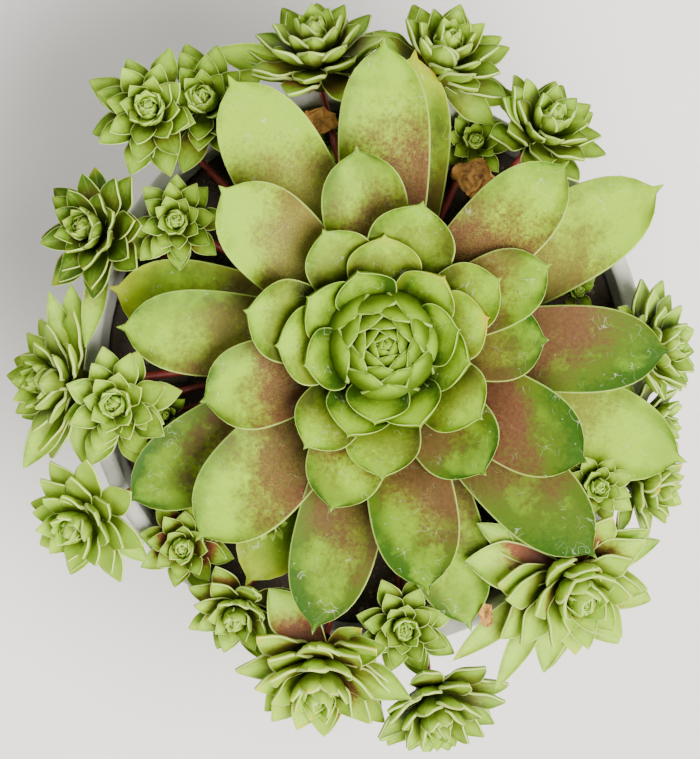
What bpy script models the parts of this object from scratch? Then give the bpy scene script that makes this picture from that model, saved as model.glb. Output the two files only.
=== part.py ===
"""Hens and chicks: a large succulent rosette ringed by its offsets, planted in a plain round pot.

Metres, +Z up. The origin is the centre of the pot's flat base. Seen from above, +X is right and +Y is up.
"""
import math
import random
from collections import namedtuple
from itertools import product

import bmesh
import bpy
from mathutils import Matrix, Vector, noise
from mathutils.bvhtree import BVHTree

MM = 0.001
GAP = 0.3 * MM

# Pot
POT_HEIGHT = 90 * MM
POT_RIM_RADIUS = 71 * MM
POT_BASE_RADIUS = 52 * MM
POT_WALL = 4.5 * MM
POT_FLOOR = 6 * MM
POT_BASE_ROUNDING = 2.5 * MM
POT_RIM_ROUNDING = 1.2 * MM
POT_SIDES = 36
DRAIN_HOLES = 3
DRAIN_RADIUS = 4.5 * MM
DRAIN_CIRCLE = 28 * MM
DRAIN_SIDES = 14

# Soil
SOIL_EDGE_HEIGHT = 81.5 * MM
SOIL_DOME = 2.5 * MM
SOIL_LUMP = 1.2 * MM
SOIL_LUMP_PITCH = 12 * MM
SOIL_RINGS = 4

# Hen: the stem stands a little off the pot's axis
HEN_X = 4.75 * MM
HEN_Y = 5.0 * MM
STEM_FOOT = 60 * MM
STEM_RADIUS = 6.5 * MM
STEM_SIDES = 10
CROWN_HEIGHT = 99 * MM
HEN_STATIONS = (0.0, 0.34, 0.62, 0.82, 0.94)
HEN_INNER_STATIONS = (0.0, 0.40, 0.72, 0.93)
HEN_INNER_RADIUS = 12 * MM
HEN_ROOT_STEP = 0.25 * MM
# The body inside the leaves: radius and height above the crown, from the stem to the heart of the bud
HEN_CORE = ((STEM_RADIUS, -3.5 * MM), (11.5 * MM, 4.0 * MM), (15.0 * MM, 15.0 * MM), (4.0 * MM, 27.0 * MM))

# Each layer of the hen: height of its roots above the crown and their distance from the axis in mm, rise
# at the root and bend to the tip in degrees, cup, thickness in mm, then its leaves as (azimuth in degrees,
# reach in mm, half width in mm), from the lowest layer to the innermost one
Layer = namedtuple("Layer", "root_height root_radius rise curl cup thickness leaves")
HEN_LAYERS = (
    Layer(0.0, 7.0, 3, -2, 0.10, 3.2, (
        (84, 74.8, 11.3), (168, 70.5, 11.3), (-149, 76.0, 11.3), (-120, 69.5, 10.5),
        (-73, 74.8, 10.5), (-21, 81.3, 12.0), (30, 80.8, 11.5))),
    Layer(3.5, 8.5, 14, -9, 0.14, 3.4, (
        (120, 77.8, 12.3), (90, 76.8, 11.5), (-1, 71.8, 11.0), (-45, 74.8, 11.0),
        (-104, 74.0, 10.8), (-134, 67.5, 12.5), (176, 66.8, 10.8))),
    Layer(7.0, 10.5, 27, -14, 0.18, 3.6, (
        (45, 64.5, 10.5), (-30, 58.3, 11.3), (-80, 62.5, 11.0), (136, 57.0, 11.5), (98, 50.0, 10.8),
        (26, 47.0, 9.5), (-163, 47.8, 11.0), (2, 41.3, 10.0), (-108, 44.0, 10.0), (-52, 41.5, 11.0))),
    Layer(10.5, 12.5, 44, -16, 0.24, 3.2, (
        (75, 36.8, 11.0), (166, 35.8, 10.5), (30, 33.3, 9.0), (118, 32.5, 9.0), (-91, 33.3, 9.5),
        (-128, 32.3, 8.5), (-37, 30.3, 9.5), (90, 27.5, 9.3), (15, 26.8, 9.0), (180, 27.0, 10.0))),
    Layer(13.5, 12.5, 64, -22, 0.34, 2.6, (
        (-112, 24.3, 8.5), (49, 22.5, 8.3), (148, 22.5, 8.5), (-12, 21.8, 8.3), (-66, 22.0, 8.3),
        (194, 20.5, 8.0), (110, 19.5, 8.0), (-97, 19.5, 8.0), (12, 19.0, 8.0))),
)

# Closed bud in the middle of the hen
BUD_LEAVES = 15
BUD_ROOT_RADIUS = (16.2 * MM, 1.5 * MM)
BUD_ROOT_HEIGHT = (15.0 * MM, 25.0 * MM)
BUD_LENGTH = (18.0 * MM, 7.5 * MM)
BUD_HALF_WIDTH = (9.5 * MM, 3.2 * MM)
BUD_RISE = (72, 80)
BUD_CURL = (78, 34)
BUD_CROWDING = 1.3
BUD_CUP = 0.42
BUD_THICKNESS = 2.2 * MM
BUD_STATIONS = (0.0, 0.45, 0.8)
GOLDEN_ANGLE = 137.508

# Each chick: bud centre from the hen's axis in mm, its height above the pot's base in mm, tilt and the
# azimuth that it leans to in degrees, reach of its leaves in mm, number of leaves, turn in degrees
Chick = namedtuple("Chick", "name x y z tilt lean reach leaves turn")
CHICKS = (
    Chick("chick_01", -58.8, 59.3, 104, 14, 135, 15.5, 13, 20),
    Chick("chick_04", -52.0, 31.3, 107, 5, 150, 12.0, 12, 75),
    Chick("chick_06", -67.3, -14.8, 103.5, 8, 190, 15.0, 13, 50),
    Chick("chick_12", 5.0, -70.8, 104, 10, -80, 13.0, 12, 10),
    Chick("chick_15", 53.3, -35.0, 108, 12, -35, 10.5, 11, 5),
    Chick("chick_14", 49.0, -62.3, 106, 38, -55, 22.0, 14, 40),
    Chick("chick_11", -16.3, -86.0, 103, 50, -98, 21.0, 14, 0),
    Chick("chick_20", 16.0, 75.0, 101.5, 50, 70, 18.5, 14, 30),
    Chick("chick_21", -17.3, 77.2, 100, 58, 98, 19.0, 14, 65),
    Chick("chick_19", 41.8, 56.3, 101.5, 46, 50, 17.0, 13, 15),
    Chick("chick_03", -74.3, 29.5, 103, 36, 165, 16.5, 13, 60),
    Chick("chick_05", -85.0, -8.8, 99.5, 56, 178, 18.0, 13, 25),
    Chick("chick_08", -77.5, -45.3, 100, 44, -145, 16.5, 13, 80),
    Chick("chick_10", -37.0, -68.0, 101.5, 38, -110, 14.0, 12, 35),
    Chick("chick_13", 13.3, -94.0, 96, 58, -80, 18.0, 13, 45),
    Chick("chick_09", -50.3, -50.3, 97.5, 15, -135, 12.5, 11, 70),
    Chick("chick_02", -44.8, 61.5, 103, 20, 110, 16.0, 12, 5),
    Chick("chick_17", 71.0, 0.0, 99, 60, 5, 16.5, 12, 55),
    Chick("chick_16", 69.0, -36.0, 97.5, 62, -22, 14.0, 11, 30),
    Chick("chick_18", 69.5, -20.0, 97.5, 68, -12, 13.5, 10, 85),
    Chick("chick_22", 23.0, 51.5, 94, 15, 60, 10.0, 9, 15),
    Chick("chick_23", -11.8, 52.8, 93.5, 10, 100, 9.0, 9, 40),
    Chick("chick_07", -54.8, -17.3, 97, 10, -160, 6.0, 7, 60),
    Chick("chick_25", 48.5, 14.0, 96, 15, 16, 6.0, 7, 20),
    Chick("chick_24", -29.0, -45.3, 107.0, 45, -120, 5.0, 7, 0),
)
# A chick's leaves from the outermost to the innermost: rise and bend in degrees, the rest in shares of reach
CHICK_RISE = (6, 80)
CHICK_CURL = (14, 30)
CHICK_LENGTH = (0.98, 0.46)
CHICK_HALF_WIDTH = (0.28, 0.17)
CHICK_THICKNESS = (0.12, 0.09)
CHICK_ROOT_RADIUS = (0.18, 0.04)
CHICK_ROOT_HEIGHT = (0.03, 0.40)
CHICK_CUP = (0.22, 0.40)
THINNEST_BLADE = 0.8 * MM
# How far single leaves stray from that: degrees of rise, degrees of azimuth, share of length
CHICK_STRAY = (4, 6, 0.06)
CHICK_STATIONS = (0.0, 0.6)
GUARD_STATIONS = (0.0, 0.3, 0.55, 0.8, 1.0)
CHICK_SIDES = 5
# In shares of reach: the bud above the foot, the stalk below it, and the core as radius and height
BUD_RATIO = 0.55
STUB_RATIO = 0.22
CHICK_CORE = ((0.12, -STUB_RATIO), (0.27, 0.06), (0.05, 0.56))

# What a chick's leaf may do to stay clear of its neighbours: rise in degrees, share of its length
BENDS = ((0, 1.0), (-9, 1.0), (9, 1.0), (-18, 1.0), (18, 1.0), (-28, 1.0), (28, 1.0), (-40, 1.0),
         (40, 1.0), (0, 0.8), (-18, 0.8), (18, 0.8), (-34, 0.8), (34, 0.8), (0, 0.62), (-24, 0.62),
         (24, 0.62))

# Runners, from the hen's stem to the foot of each chick
RUNNER_RADIUS = 1.05 * MM
SMALL_RUNNER_RADIUS = 0.65 * MM
SMALL_CHICK_REACH = 7
RUNNER_SIDES = 5
RUNNER_STEPS = 4
RUNNER_LEVELS = (87.2 * MM, 90.2 * MM, 93.2 * MM)
# This one comes out between two leaves: how far from the hen's axis, and how high
LEAF_AXIL_RUNNERS = {"chick_24": (24.0 * MM, 103.4 * MM)}
RUNNER_SAGS = (0, 1.5, -1.5, 3, -3, 4.5, -4.5, 6, -6, 8, -8, 11, -11)
RUNNER_SWINGS = (0, 4, -4, 8, -8, 12, -12, 16, -16)
RUNNER_ARRIVALS = (1.0, 0.5, 0.0, -0.5, -1.0)

# Dry leaves: place from the hen's axis in mm, azimuth in degrees, length, half width in mm
DryLeaf = namedtuple("DryLeaf", "name x y azimuth length half_width curl cup")
DRY_LEAVES = (
    DryLeaf("dry_leaf_1", -20.5, 57.5, -12, 10.5, 3.2, 70, 0.55),
    DryLeaf("dry_leaf_2", 17.0, 44.0, -20, 12.5, 5.0, 80, 0.7),
    DryLeaf("dry_leaf_3", 26.0, -70.0, 100, 6.5, 2.0, 60, 0.5),
)
DRY_THICKNESS = 0.9 * MM
DRY_STATIONS = (0.0, 0.2, 0.4, 0.6, 0.8)
DRY_COLUMNS = (-1.0, -0.5, 0.0, 0.5, 1.0)
DRY_DROP_FROM = 112 * MM
DRY_DROP_STEP = 0.25 * MM

# A leaf stands at an azimuth, from its root's radius and height, and bends from its rise by its curl
Leaf = namedtuple("Leaf", "azimuth root_radius root_height length half_width thickness rise curl cup sharp")
# Half width at the root and share of the length where the leaf is widest
LANCE_ROOT, LANCE_PEAK = 0.4, 0.6
BROAD_ROOT, BROAD_PEAK = 0.45, 0.62
# The broad leaf's rounded shoulder runs over this share of the length, and its point is this wide
SHOULDER_RUN = 0.33
CUSP_WIDTH = 0.28
CUSP_RUN = 0.12
# A leaf is flatter above its middle surface than below
UPPER_FULLNESS = 0.8
LOWER_FULLNESS = 1.2
GUARD_MARGIN = 1.3 * GAP
SHARP_ANGLE = math.radians(40)


def clear_scene():
    for scene_object in list(bpy.data.objects):
        bpy.data.objects.remove(scene_object, do_unlink=True)


def finish_material(name, colour, roughness):
    """A plain Principled material; returns it."""
    material = bpy.data.materials.new(name)
    material.use_nodes = True
    shader = material.node_tree.nodes["Principled BSDF"]
    shader.inputs["Base Color"].default_value = (*colour, 1.0)
    shader.inputs["Roughness"].default_value = roughness
    shader.inputs["Metallic"].default_value = 0.0
    return material


def mesh_object(name, points, faces, material):
    """A mesh object from points and faces, with its faces turned outwards."""
    mesh = bpy.data.meshes.new(name)
    mesh.from_pydata([tuple(point) for point in points], [], faces)
    edit = bmesh.new()
    edit.from_mesh(mesh)
    bmesh.ops.recalc_face_normals(edit, faces=edit.faces)
    edit.to_mesh(mesh)
    edit.free()
    mesh.materials.append(material)
    built = bpy.data.objects.new(name, mesh)
    bpy.context.scene.collection.objects.link(built)
    return built


def turned(profile, sides, place=Matrix.Identity(4)):
    """Points and faces of an outline of (radius, height) turned about +Z, closed by flat ends."""
    points = []
    for radius, height in profile:
        for step in range(sides):
            angle = 2 * math.pi * step / sides
            points.append(place @ Vector((radius * math.cos(angle), radius * math.sin(angle), height)))
    faces = [tuple(range(sides))]
    for ring in range(len(profile) - 1):
        for step in range(sides):
            after = (step + 1) % sides
            low = ring * sides
            high = low + sides
            faces.append((low + step, low + after, high + after, high + step))
    last = (len(profile) - 1) * sides
    faces.append(tuple(range(last, last + sides)))
    return points, faces


def lerp(first, last, share):
    return first + (last - first) * share


def shade_round(built):
    """Smooth shading, with the sharp corners kept."""
    built.data.shade_smooth()
    built.data.set_sharp_from_angle(angle=SHARP_ANGLE)


# Leaves


def outline(share, sharp):
    """Half width of a leaf at a share of its length: a broad leaf with a cusp, or a sharp lance."""
    root, peak = (LANCE_ROOT, LANCE_PEAK) if sharp else (BROAD_ROOT, BROAD_PEAK)
    if share <= peak:
        return root + (1 - root) * math.sin(0.5 * math.pi * share / peak)
    if sharp:
        return (1 - ((share - peak) / (1 - peak)) ** 1.6) ** 0.8
    shoulder = max(0.0, 1 - ((share - peak) / SHOULDER_RUN) ** 2.4) ** 0.5
    cusp = CUSP_WIDTH * (1 - share) / CUSP_RUN
    return max(shoulder, min(cusp, CUSP_WIDTH))


def midline(leaf, share):
    """Distance from the axis, height and slope of the leaf's middle at a share of its length."""
    slope = leaf.rise + leaf.curl * share
    along = leaf.length / leaf.curl * (math.sin(slope) - math.sin(leaf.rise))
    up = leaf.length / leaf.curl * (math.cos(leaf.rise) - math.cos(slope))
    return leaf.root_radius + along, leaf.root_height + up, slope


def leaf_point(leaf, share, side, depth):
    """A point of the leaf: side runs from -1 to 1 across it, depth is above (+) its middle surface."""
    out, height, slope = midline(leaf, share)
    width = leaf.half_width * outline(share, leaf.sharp)
    lift = leaf.cup * width * side * side + depth
    out -= math.sin(slope) * lift
    height += math.cos(slope) * lift
    across = width * side
    turn_cos = math.cos(leaf.azimuth)
    turn_sin = math.sin(leaf.azimuth)
    return Vector((out * turn_cos - across * turn_sin, out * turn_sin + across * turn_cos, height))


def half_depth(leaf, share, side):
    """Half the leaf's thickness: full along the middle and thin at the margins."""
    along = 0.8 + 0.35 * math.sin(math.pi * share) - 0.35 * share
    return 0.5 * leaf.thickness * along * (1 - side * side) ** 0.6


def skin_faces(rings, columns, tip):
    """Triangles of a closed leaf, split alike on both faces.

    A ring is its left edge, the upper points, the right edge, then the lower points back to the left.
    """
    size = 2 * columns - 2
    upper = list(range(columns))
    lower = [0] + [size - step for step in range(1, columns - 1)] + [columns - 1]
    faces = [tuple(range(size))]
    for ring in range(rings):
        for skin in (upper, lower):
            for column in range(columns - 1):
                outer, inner = skin[column], skin[column + 1]
                if column >= columns // 2:
                    outer, inner = inner, outer
                a = ring * size + outer
                b = ring * size + inner
                if ring == rings - 1:
                    faces.append((a, b, tip))
                    continue
                faces.append((a, b, b + size))
                faces.append((a, b + size, a + size))
    return faces


def leaf_shape(leaf, stations, sides_across, place):
    """Points and faces of one fleshy leaf, closed at its root and pointed at its tip."""
    points = []
    for share in stations:
        for side in sides_across:
            points.append(leaf_point(leaf, share, side, UPPER_FULLNESS * half_depth(leaf, share, side)))
        for side in reversed(sides_across[1:-1]):
            points.append(leaf_point(leaf, share, side, -LOWER_FULLNESS * half_depth(leaf, share, side)))
    points.append(leaf_point(leaf, 1.0, 0.0, 0.0))
    faces = skin_faces(len(stations), len(sides_across), len(points) - 1)
    return [place @ point for point in points], faces


def guard_shape(leaf, place):
    """A leaf swollen by the gap on every side, to test whether the leaf has room."""
    wide = leaf._replace(half_width=leaf.half_width + GUARD_MARGIN, length=leaf.length + GAP)
    sides_across = (-1.0, 0.0, 1.0)
    points = []
    for share in GUARD_STATIONS:
        for face, fullness in ((1, UPPER_FULLNESS), (-1, LOWER_FULLNESS)):
            for side in sides_across:
                depth = face * (fullness * half_depth(leaf, share, side) + GUARD_MARGIN)
                points.append(leaf_point(wide, share, side, depth))
    faces = []
    loop = (0, 1, 2, 5, 4, 3)
    for ring in range(len(GUARD_STATIONS) - 1):
        for step in range(6):
            a = ring * 6 + loop[step]
            b = ring * 6 + loop[(step + 1) % 6]
            faces.append((a, b, b + 6))
            faces.append((a, b + 6, a + 6))
    return [place @ point for point in points], faces


def search_tree(points, faces):
    return BVHTree.FromPolygons([tuple(point) for point in points], faces)


def object_tree(built):
    mesh = built.data
    return search_tree([vertex.co for vertex in mesh.vertices],
                       [tuple(polygon.vertices) for polygon in mesh.polygons])


def is_clear(points, faces, neighbours):
    tree = search_tree(points, faces)
    return not any(tree.overlap(neighbour) for neighbour in neighbours)


def fuse(base, parts):
    """Joins parts to the base with one Boolean union and keeps the one outer body."""
    group = bpy.data.collections.new(base.name + "_parts")
    bpy.context.scene.collection.children.link(group)
    for part in parts:
        bpy.context.scene.collection.objects.unlink(part)
        group.objects.link(part)
    union = base.modifiers.new("union", "BOOLEAN")
    union.operation = "UNION"
    union.operand_type = "COLLECTION"
    union.collection = group
    union.solver = "MANIFOLD"
    depsgraph = bpy.context.evaluated_depsgraph_get()
    joined = bpy.data.meshes.new_from_object(base.evaluated_get(depsgraph))
    base.modifiers.remove(union)
    base.data = joined
    for part in list(group.objects):
        bpy.data.objects.remove(part, do_unlink=True)
    bpy.data.collections.remove(group)
    keep_outer_body(joined)


def keep_outer_body(mesh):
    """Drops loose scraps and sealed hollows, so one closed body is left."""
    edit = bmesh.new()
    edit.from_mesh(mesh)
    unseen = set(edit.verts)
    shells = []
    while unseen:
        first = next(iter(unseen))
        shell = {first}
        edge_of_search = [first]
        while edge_of_search:
            vertex = edge_of_search.pop()
            for edge in vertex.link_edges:
                other = edge.other_vert(vertex)
                if other not in shell:
                    shell.add(other)
                    edge_of_search.append(other)
        unseen -= shell
        shells.append(shell)
    largest = max(shells, key=len)
    scraps = [vertex for shell in shells if shell is not largest for vertex in shell]
    bmesh.ops.delete(edit, geom=scraps, context="VERTS")
    edit.to_mesh(mesh)
    edit.free()


# Pot and soil


def arc(centre_radius, centre_height, radius, start, end, steps):
    """Points of (radius, height) along a rounding, with its angles in degrees."""
    points = []
    for step in range(steps + 1):
        angle = math.radians(lerp(start, end, step / steps))
        points.append((centre_radius + radius * math.cos(angle), centre_height + radius * math.sin(angle)))
    return points


def wall_radius(height):
    """Outer radius of the tapered pot at a height."""
    return lerp(POT_BASE_RADIUS, POT_RIM_RADIUS, height / POT_HEIGHT)


def build_pot(material):
    foot = arc(POT_BASE_RADIUS - POT_BASE_ROUNDING, POT_BASE_ROUNDING, POT_BASE_ROUNDING, -90, 0, 1)
    rim_outer = arc(POT_RIM_RADIUS - POT_RIM_ROUNDING, POT_HEIGHT - POT_RIM_ROUNDING, POT_RIM_ROUNDING,
                    0, 90, 1)
    rim_inner = arc(POT_RIM_RADIUS - POT_WALL + POT_RIM_ROUNDING, POT_HEIGHT - POT_RIM_ROUNDING,
                    POT_RIM_ROUNDING, 90, 180, 1)
    inner_foot = [(wall_radius(POT_FLOOR) - POT_WALL, POT_FLOOR)]
    points, faces = turned(foot + rim_outer + rim_inner + inner_foot, POT_SIDES)
    pot = mesh_object("pot", points, faces, material)
    for hole in range(DRAIN_HOLES):
        angle = 2 * math.pi * hole / DRAIN_HOLES + 0.5 * math.pi
        place = Matrix.Translation((DRAIN_CIRCLE * math.cos(angle), DRAIN_CIRCLE * math.sin(angle), 0))
        drill(pot, f"drain_cutter_{hole + 1}", DRAIN_RADIUS, -POT_FLOOR, 2 * POT_FLOOR, DRAIN_SIDES, place)
    shade_round(pot)
    return pot


def drill(target, name, radius, low, high, sides, place):
    """Cuts a round hole between two heights with a hidden cutter."""
    points, faces = turned([(radius, low), (radius, high)], sides, place)
    cutter = mesh_object(name, points, faces, target.data.materials[0])
    cutter.hide_render = True
    cutter.display_type = "WIRE"
    cut = target.modifiers.new(name, "BOOLEAN")
    cut.operation = "DIFFERENCE"
    cut.object = cutter
    cut.solver = "EXACT"


def build_soil(material):
    inner_top = wall_radius(SOIL_EDGE_HEIGHT) - POT_WALL - GAP
    inner_foot = wall_radius(POT_FLOOR + GAP) - POT_WALL - GAP
    profile = [(inner_foot, POT_FLOOR + GAP), (inner_top, SOIL_EDGE_HEIGHT)]
    for ring in range(1, SOIL_RINGS):
        share = 1 - ring / SOIL_RINGS
        profile.append((inner_top * share, SOIL_EDGE_HEIGHT + SOIL_DOME * (1 - share * share)))
    points, faces = turned(profile, POT_SIDES)
    for point in points[2 * POT_SIDES:]:
        point.z += SOIL_LUMP * noise.noise(point / SOIL_LUMP_PITCH)
    soil = mesh_object("soil", points, faces, material)
    drill(soil, "stem_cutter", STEM_RADIUS + GAP, STEM_FOOT - GAP, POT_HEIGHT, STEM_SIDES,
          Matrix.Translation((HEN_X, HEN_Y, 0)))
    shade_round(soil)
    return soil


# Hen


def hen_leaves():
    """Every leaf of the hen, from the lowest to the innermost."""
    leaves = []
    for layer in HEN_LAYERS:
        rise = math.radians(layer.rise)
        curl = math.radians(layer.curl)
        level = curl / (math.sin(rise + curl) - math.sin(rise))
        for order, (azimuth, reach, half_width) in enumerate(layer.leaves):
            leaves.append(Leaf(
                azimuth=math.radians(azimuth), root_radius=layer.root_radius * MM,
                root_height=layer.root_height * MM + order * HEN_ROOT_STEP,
                length=(reach - layer.root_radius) * MM * level, half_width=half_width * MM,
                thickness=layer.thickness * MM, rise=rise, curl=curl, cup=layer.cup, sharp=False))
    return leaves


def bud_leaves():
    """The incurved leaves of the hen's closed bud."""
    leaves = []
    for order in range(BUD_LEAVES):
        share = order / (BUD_LEAVES - 1)
        leaves.append(Leaf(
            azimuth=math.radians(order * GOLDEN_ANGLE),
            root_radius=lerp(*BUD_ROOT_RADIUS, share ** BUD_CROWDING),
            root_height=lerp(*BUD_ROOT_HEIGHT, share), length=lerp(*BUD_LENGTH, share),
            half_width=lerp(*BUD_HALF_WIDTH, share), thickness=BUD_THICKNESS,
            rise=math.radians(lerp(*BUD_RISE, share)), curl=math.radians(lerp(*BUD_CURL, share)),
            cup=BUD_CUP, sharp=False))
    return leaves


def build_hen(material):
    place = Matrix.Translation((HEN_X, HEN_Y, CROWN_HEIGHT))
    foot = STEM_FOOT - CROWN_HEIGHT
    points, faces = turned(((STEM_RADIUS, foot), *HEN_CORE), STEM_SIDES, place)
    hen = mesh_object("hen", points, faces, material)
    parts = []
    for order, leaf in enumerate(hen_leaves()):
        if leaf.root_radius < HEN_INNER_RADIUS:
            shape = leaf_shape(leaf, HEN_STATIONS, (-1.0, -0.5, 0.5, 1.0), place)
        else:
            shape = leaf_shape(leaf, HEN_INNER_STATIONS, (-1.0, 0.0, 1.0), place)
        parts.append(mesh_object(f"hen_leaf_{order}", *shape, material))
    for order, leaf in enumerate(bud_leaves()):
        shape = leaf_shape(leaf, BUD_STATIONS, (-1.0, 0.0, 1.0), place)
        parts.append(mesh_object(f"bud_leaf_{order}", *shape, material))
    fuse(hen, parts)
    shade_round(hen)
    return hen


# Chicks


def chick_place(chick):
    """Matrix that puts a chick's own frame, with its foot at the origin and its axis up, in the pot."""
    lean = Matrix.Rotation(math.radians(chick.lean), 4, "Z")
    tilt = Matrix.Rotation(math.radians(chick.tilt), 4, "Y")
    turn = Matrix.Rotation(math.radians(chick.turn), 4, "Z")
    attitude = lean @ tilt @ turn
    bud = Vector((HEN_X + chick.x * MM, HEN_Y + chick.y * MM, chick.z * MM))
    foot = bud - attitude @ Vector((0, 0, BUD_RATIO * chick.reach * MM))
    return Matrix.Translation(foot) @ attitude


def chick_core(chick):
    """Short stalk and the smaller core that the leaves stand out of."""
    reach = chick.reach * MM
    profile = [(radius * reach, height * reach) for radius, height in CHICK_CORE]
    return turned(profile, CHICK_SIDES, chick_place(chick))


def chick_leaf(chick, order, bend=(0, 1.0)):
    """One leaf of a chick; the outer ones are long and low, the inner ones short and upright."""
    reach = chick.reach * MM
    share = order / (chick.leaves - 1)
    draw = random.Random(chick.name + str(order))
    stray_rise, stray_azimuth, stray_length = CHICK_STRAY
    rise = lerp(*CHICK_RISE, share ** 1.5) + draw.uniform(-stray_rise, stray_rise) + bend[0]
    length = lerp(*CHICK_LENGTH, share ** 1.3) * draw.uniform(1 - stray_length, 1 + stray_length) * bend[1]
    azimuth = order * GOLDEN_ANGLE + draw.uniform(-stray_azimuth, stray_azimuth)
    return Leaf(
        azimuth=math.radians(azimuth), root_radius=reach * lerp(*CHICK_ROOT_RADIUS, share),
        root_height=reach * lerp(*CHICK_ROOT_HEIGHT, share), length=reach * length,
        half_width=reach * lerp(*CHICK_HALF_WIDTH, share),
        thickness=max(THINNEST_BLADE, reach * lerp(*CHICK_THICKNESS, share)),
        rise=math.radians(rise), curl=math.radians(lerp(*CHICK_CURL, share)),
        cup=lerp(*CHICK_CUP, share), sharp=True)


def build_chick(chick, material, neighbours):
    """A chick whose leaves are bent, shortened or left out where a neighbour is in their way."""
    place = chick_place(chick)
    rosette = mesh_object(chick.name, *chick_core(chick), material)
    parts = []
    for order in range(chick.leaves):
        for bend in BENDS:
            leaf = chick_leaf(chick, order, bend)
            if is_clear(*guard_shape(leaf, place), neighbours):
                shape = leaf_shape(leaf, CHICK_STATIONS, (-1.0, 0.0, 1.0), place)
                parts.append(mesh_object(f"{chick.name}_leaf_{order}", *shape, material))
                break
    fuse(rosette, parts)
    shade_round(rosette)
    return rosette


# Runners


def tube(points, radii, sides):
    """Points and faces of a round tube along points, closed by flat ends."""
    rings = []
    reference = Vector((0, 0, 1))
    for order, point in enumerate(points):
        before = points[max(order - 1, 0)]
        after = points[min(order + 1, len(points) - 1)]
        along = (after - before).normalized()
        across = along.cross(reference)
        if across.length < 0.2:
            across = along.cross(Vector((1, 0, 0)))
        across.normalize()
        if rings and across.dot(last_across) < 0:
            across.negate()
        last_across = across
        up = across.cross(along)
        for step in range(sides):
            angle = 2 * math.pi * step / sides
            offset = across * math.cos(angle) + up * math.sin(angle)
            rings.append(point + offset * radii[order])
    faces = [tuple(range(sides))]
    for ring in range(len(points) - 1):
        for step in range(sides):
            after = (step + 1) % sides
            low = ring * sides
            faces.append((low + step, low + after, low + sides + after, low + sides + step))
    faces.append(tuple(range(len(rings) - sides, len(rings))))
    return rings, faces


def runner_route(chick, source, sag, swing, arrival):
    """Points of a smooth curve from the hen's stem to a chick's foot.

    It arrives along the chick's axis where arrival is 1, level where it is 0 and from above below that.
    """
    place = chick_place(chick)
    axis = (place.to_3x3() @ Vector((0, 0, 1))).normalized()
    stub_end = place @ Vector((0, 0, -STUB_RATIO * chick.reach * MM))
    distance, level = source
    out = Vector((stub_end.x - HEN_X, stub_end.y - HEN_Y, 0)).normalized()
    across = Vector((-out.y, out.x, 0))
    heading = (out + Vector((0, 0, arrival))).normalized() if arrival < 1 else axis
    foot = stub_end - axis * (GUARD_MARGIN + runner_radius(chick) * heading.cross(axis).length)
    start = Vector((HEN_X, HEN_Y, level)) + out * distance
    span = (foot - start).length
    first = start + out * 0.4 * span + across * swing * MM + Vector((0, 0, sag * MM))
    last = foot - heading * 0.2 * span + across * 0.3 * swing * MM
    points = []
    for step in range(RUNNER_STEPS + 1):
        t = step / RUNNER_STEPS
        points.append(start * (1 - t) ** 3 + first * 3 * t * (1 - t) ** 2
                      + last * 3 * t * t * (1 - t) + foot * t ** 3)
    return points


def runner_radius(chick):
    return SMALL_RUNNER_RADIUS if chick.reach < SMALL_CHICK_REACH else RUNNER_RADIUS


def build_runner(chick, source, material, neighbours, own_core):
    """A runner that finds its way between the pieces round it."""
    name = chick.name.replace("chick", "runner")
    radii = [runner_radius(chick)] * (RUNNER_STEPS + 1)
    guard = [radius + GUARD_MARGIN for radius in radii]
    for swing, arrival, sag in product(RUNNER_SWINGS, RUNNER_ARRIVALS, RUNNER_SAGS):
        route = runner_route(chick, source, sag, swing, arrival)
        if not is_clear(*tube(route[1:-1], guard[1:-1], RUNNER_SIDES), neighbours):
            continue
        route_end = route[-1] + (route[-1] - route[-2]).normalized() * 0.5 * GAP
        end_guard = [radius + 0.5 * GAP for radius in radii]
        if not is_clear(*tube(route[:-1] + [route_end], end_guard, RUNNER_SIDES), [own_core]):
            continue
        if is_clear(*tube(route, radii, RUNNER_SIDES), neighbours):
            break
    runner = mesh_object(name, *tube(route, radii, RUNNER_SIDES), material)
    shade_round(runner)
    return runner


# Dry leaves


def dry_leaf_shape(dry, height, grow):
    leaf = Leaf(azimuth=0.0, root_radius=0.0, root_height=0.0, length=dry.length * MM,
                half_width=dry.half_width * MM + grow, thickness=DRY_THICKNESS + 3 * grow,
                rise=math.radians(-0.5 * dry.curl), curl=math.radians(dry.curl), cup=dry.cup, sharp=True)
    place = Matrix.Translation((HEN_X + dry.x * MM, HEN_Y + dry.y * MM, height))
    place = place @ Matrix.Rotation(math.radians(dry.azimuth), 4, "Z")
    return leaf_shape(leaf, DRY_STATIONS, DRY_COLUMNS, place)


def build_dry_leaf(dry, material, neighbours):
    """A curled dry leaf let down until it lies on what is under it."""
    height = DRY_DROP_FROM
    while height > SOIL_EDGE_HEIGHT:
        if not is_clear(*dry_leaf_shape(dry, height - DRY_DROP_STEP, GAP), neighbours):
            break
        height -= DRY_DROP_STEP
    curled = mesh_object(dry.name, *dry_leaf_shape(dry, height, 0.0), material)
    shade_round(curled)
    return curled


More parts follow.
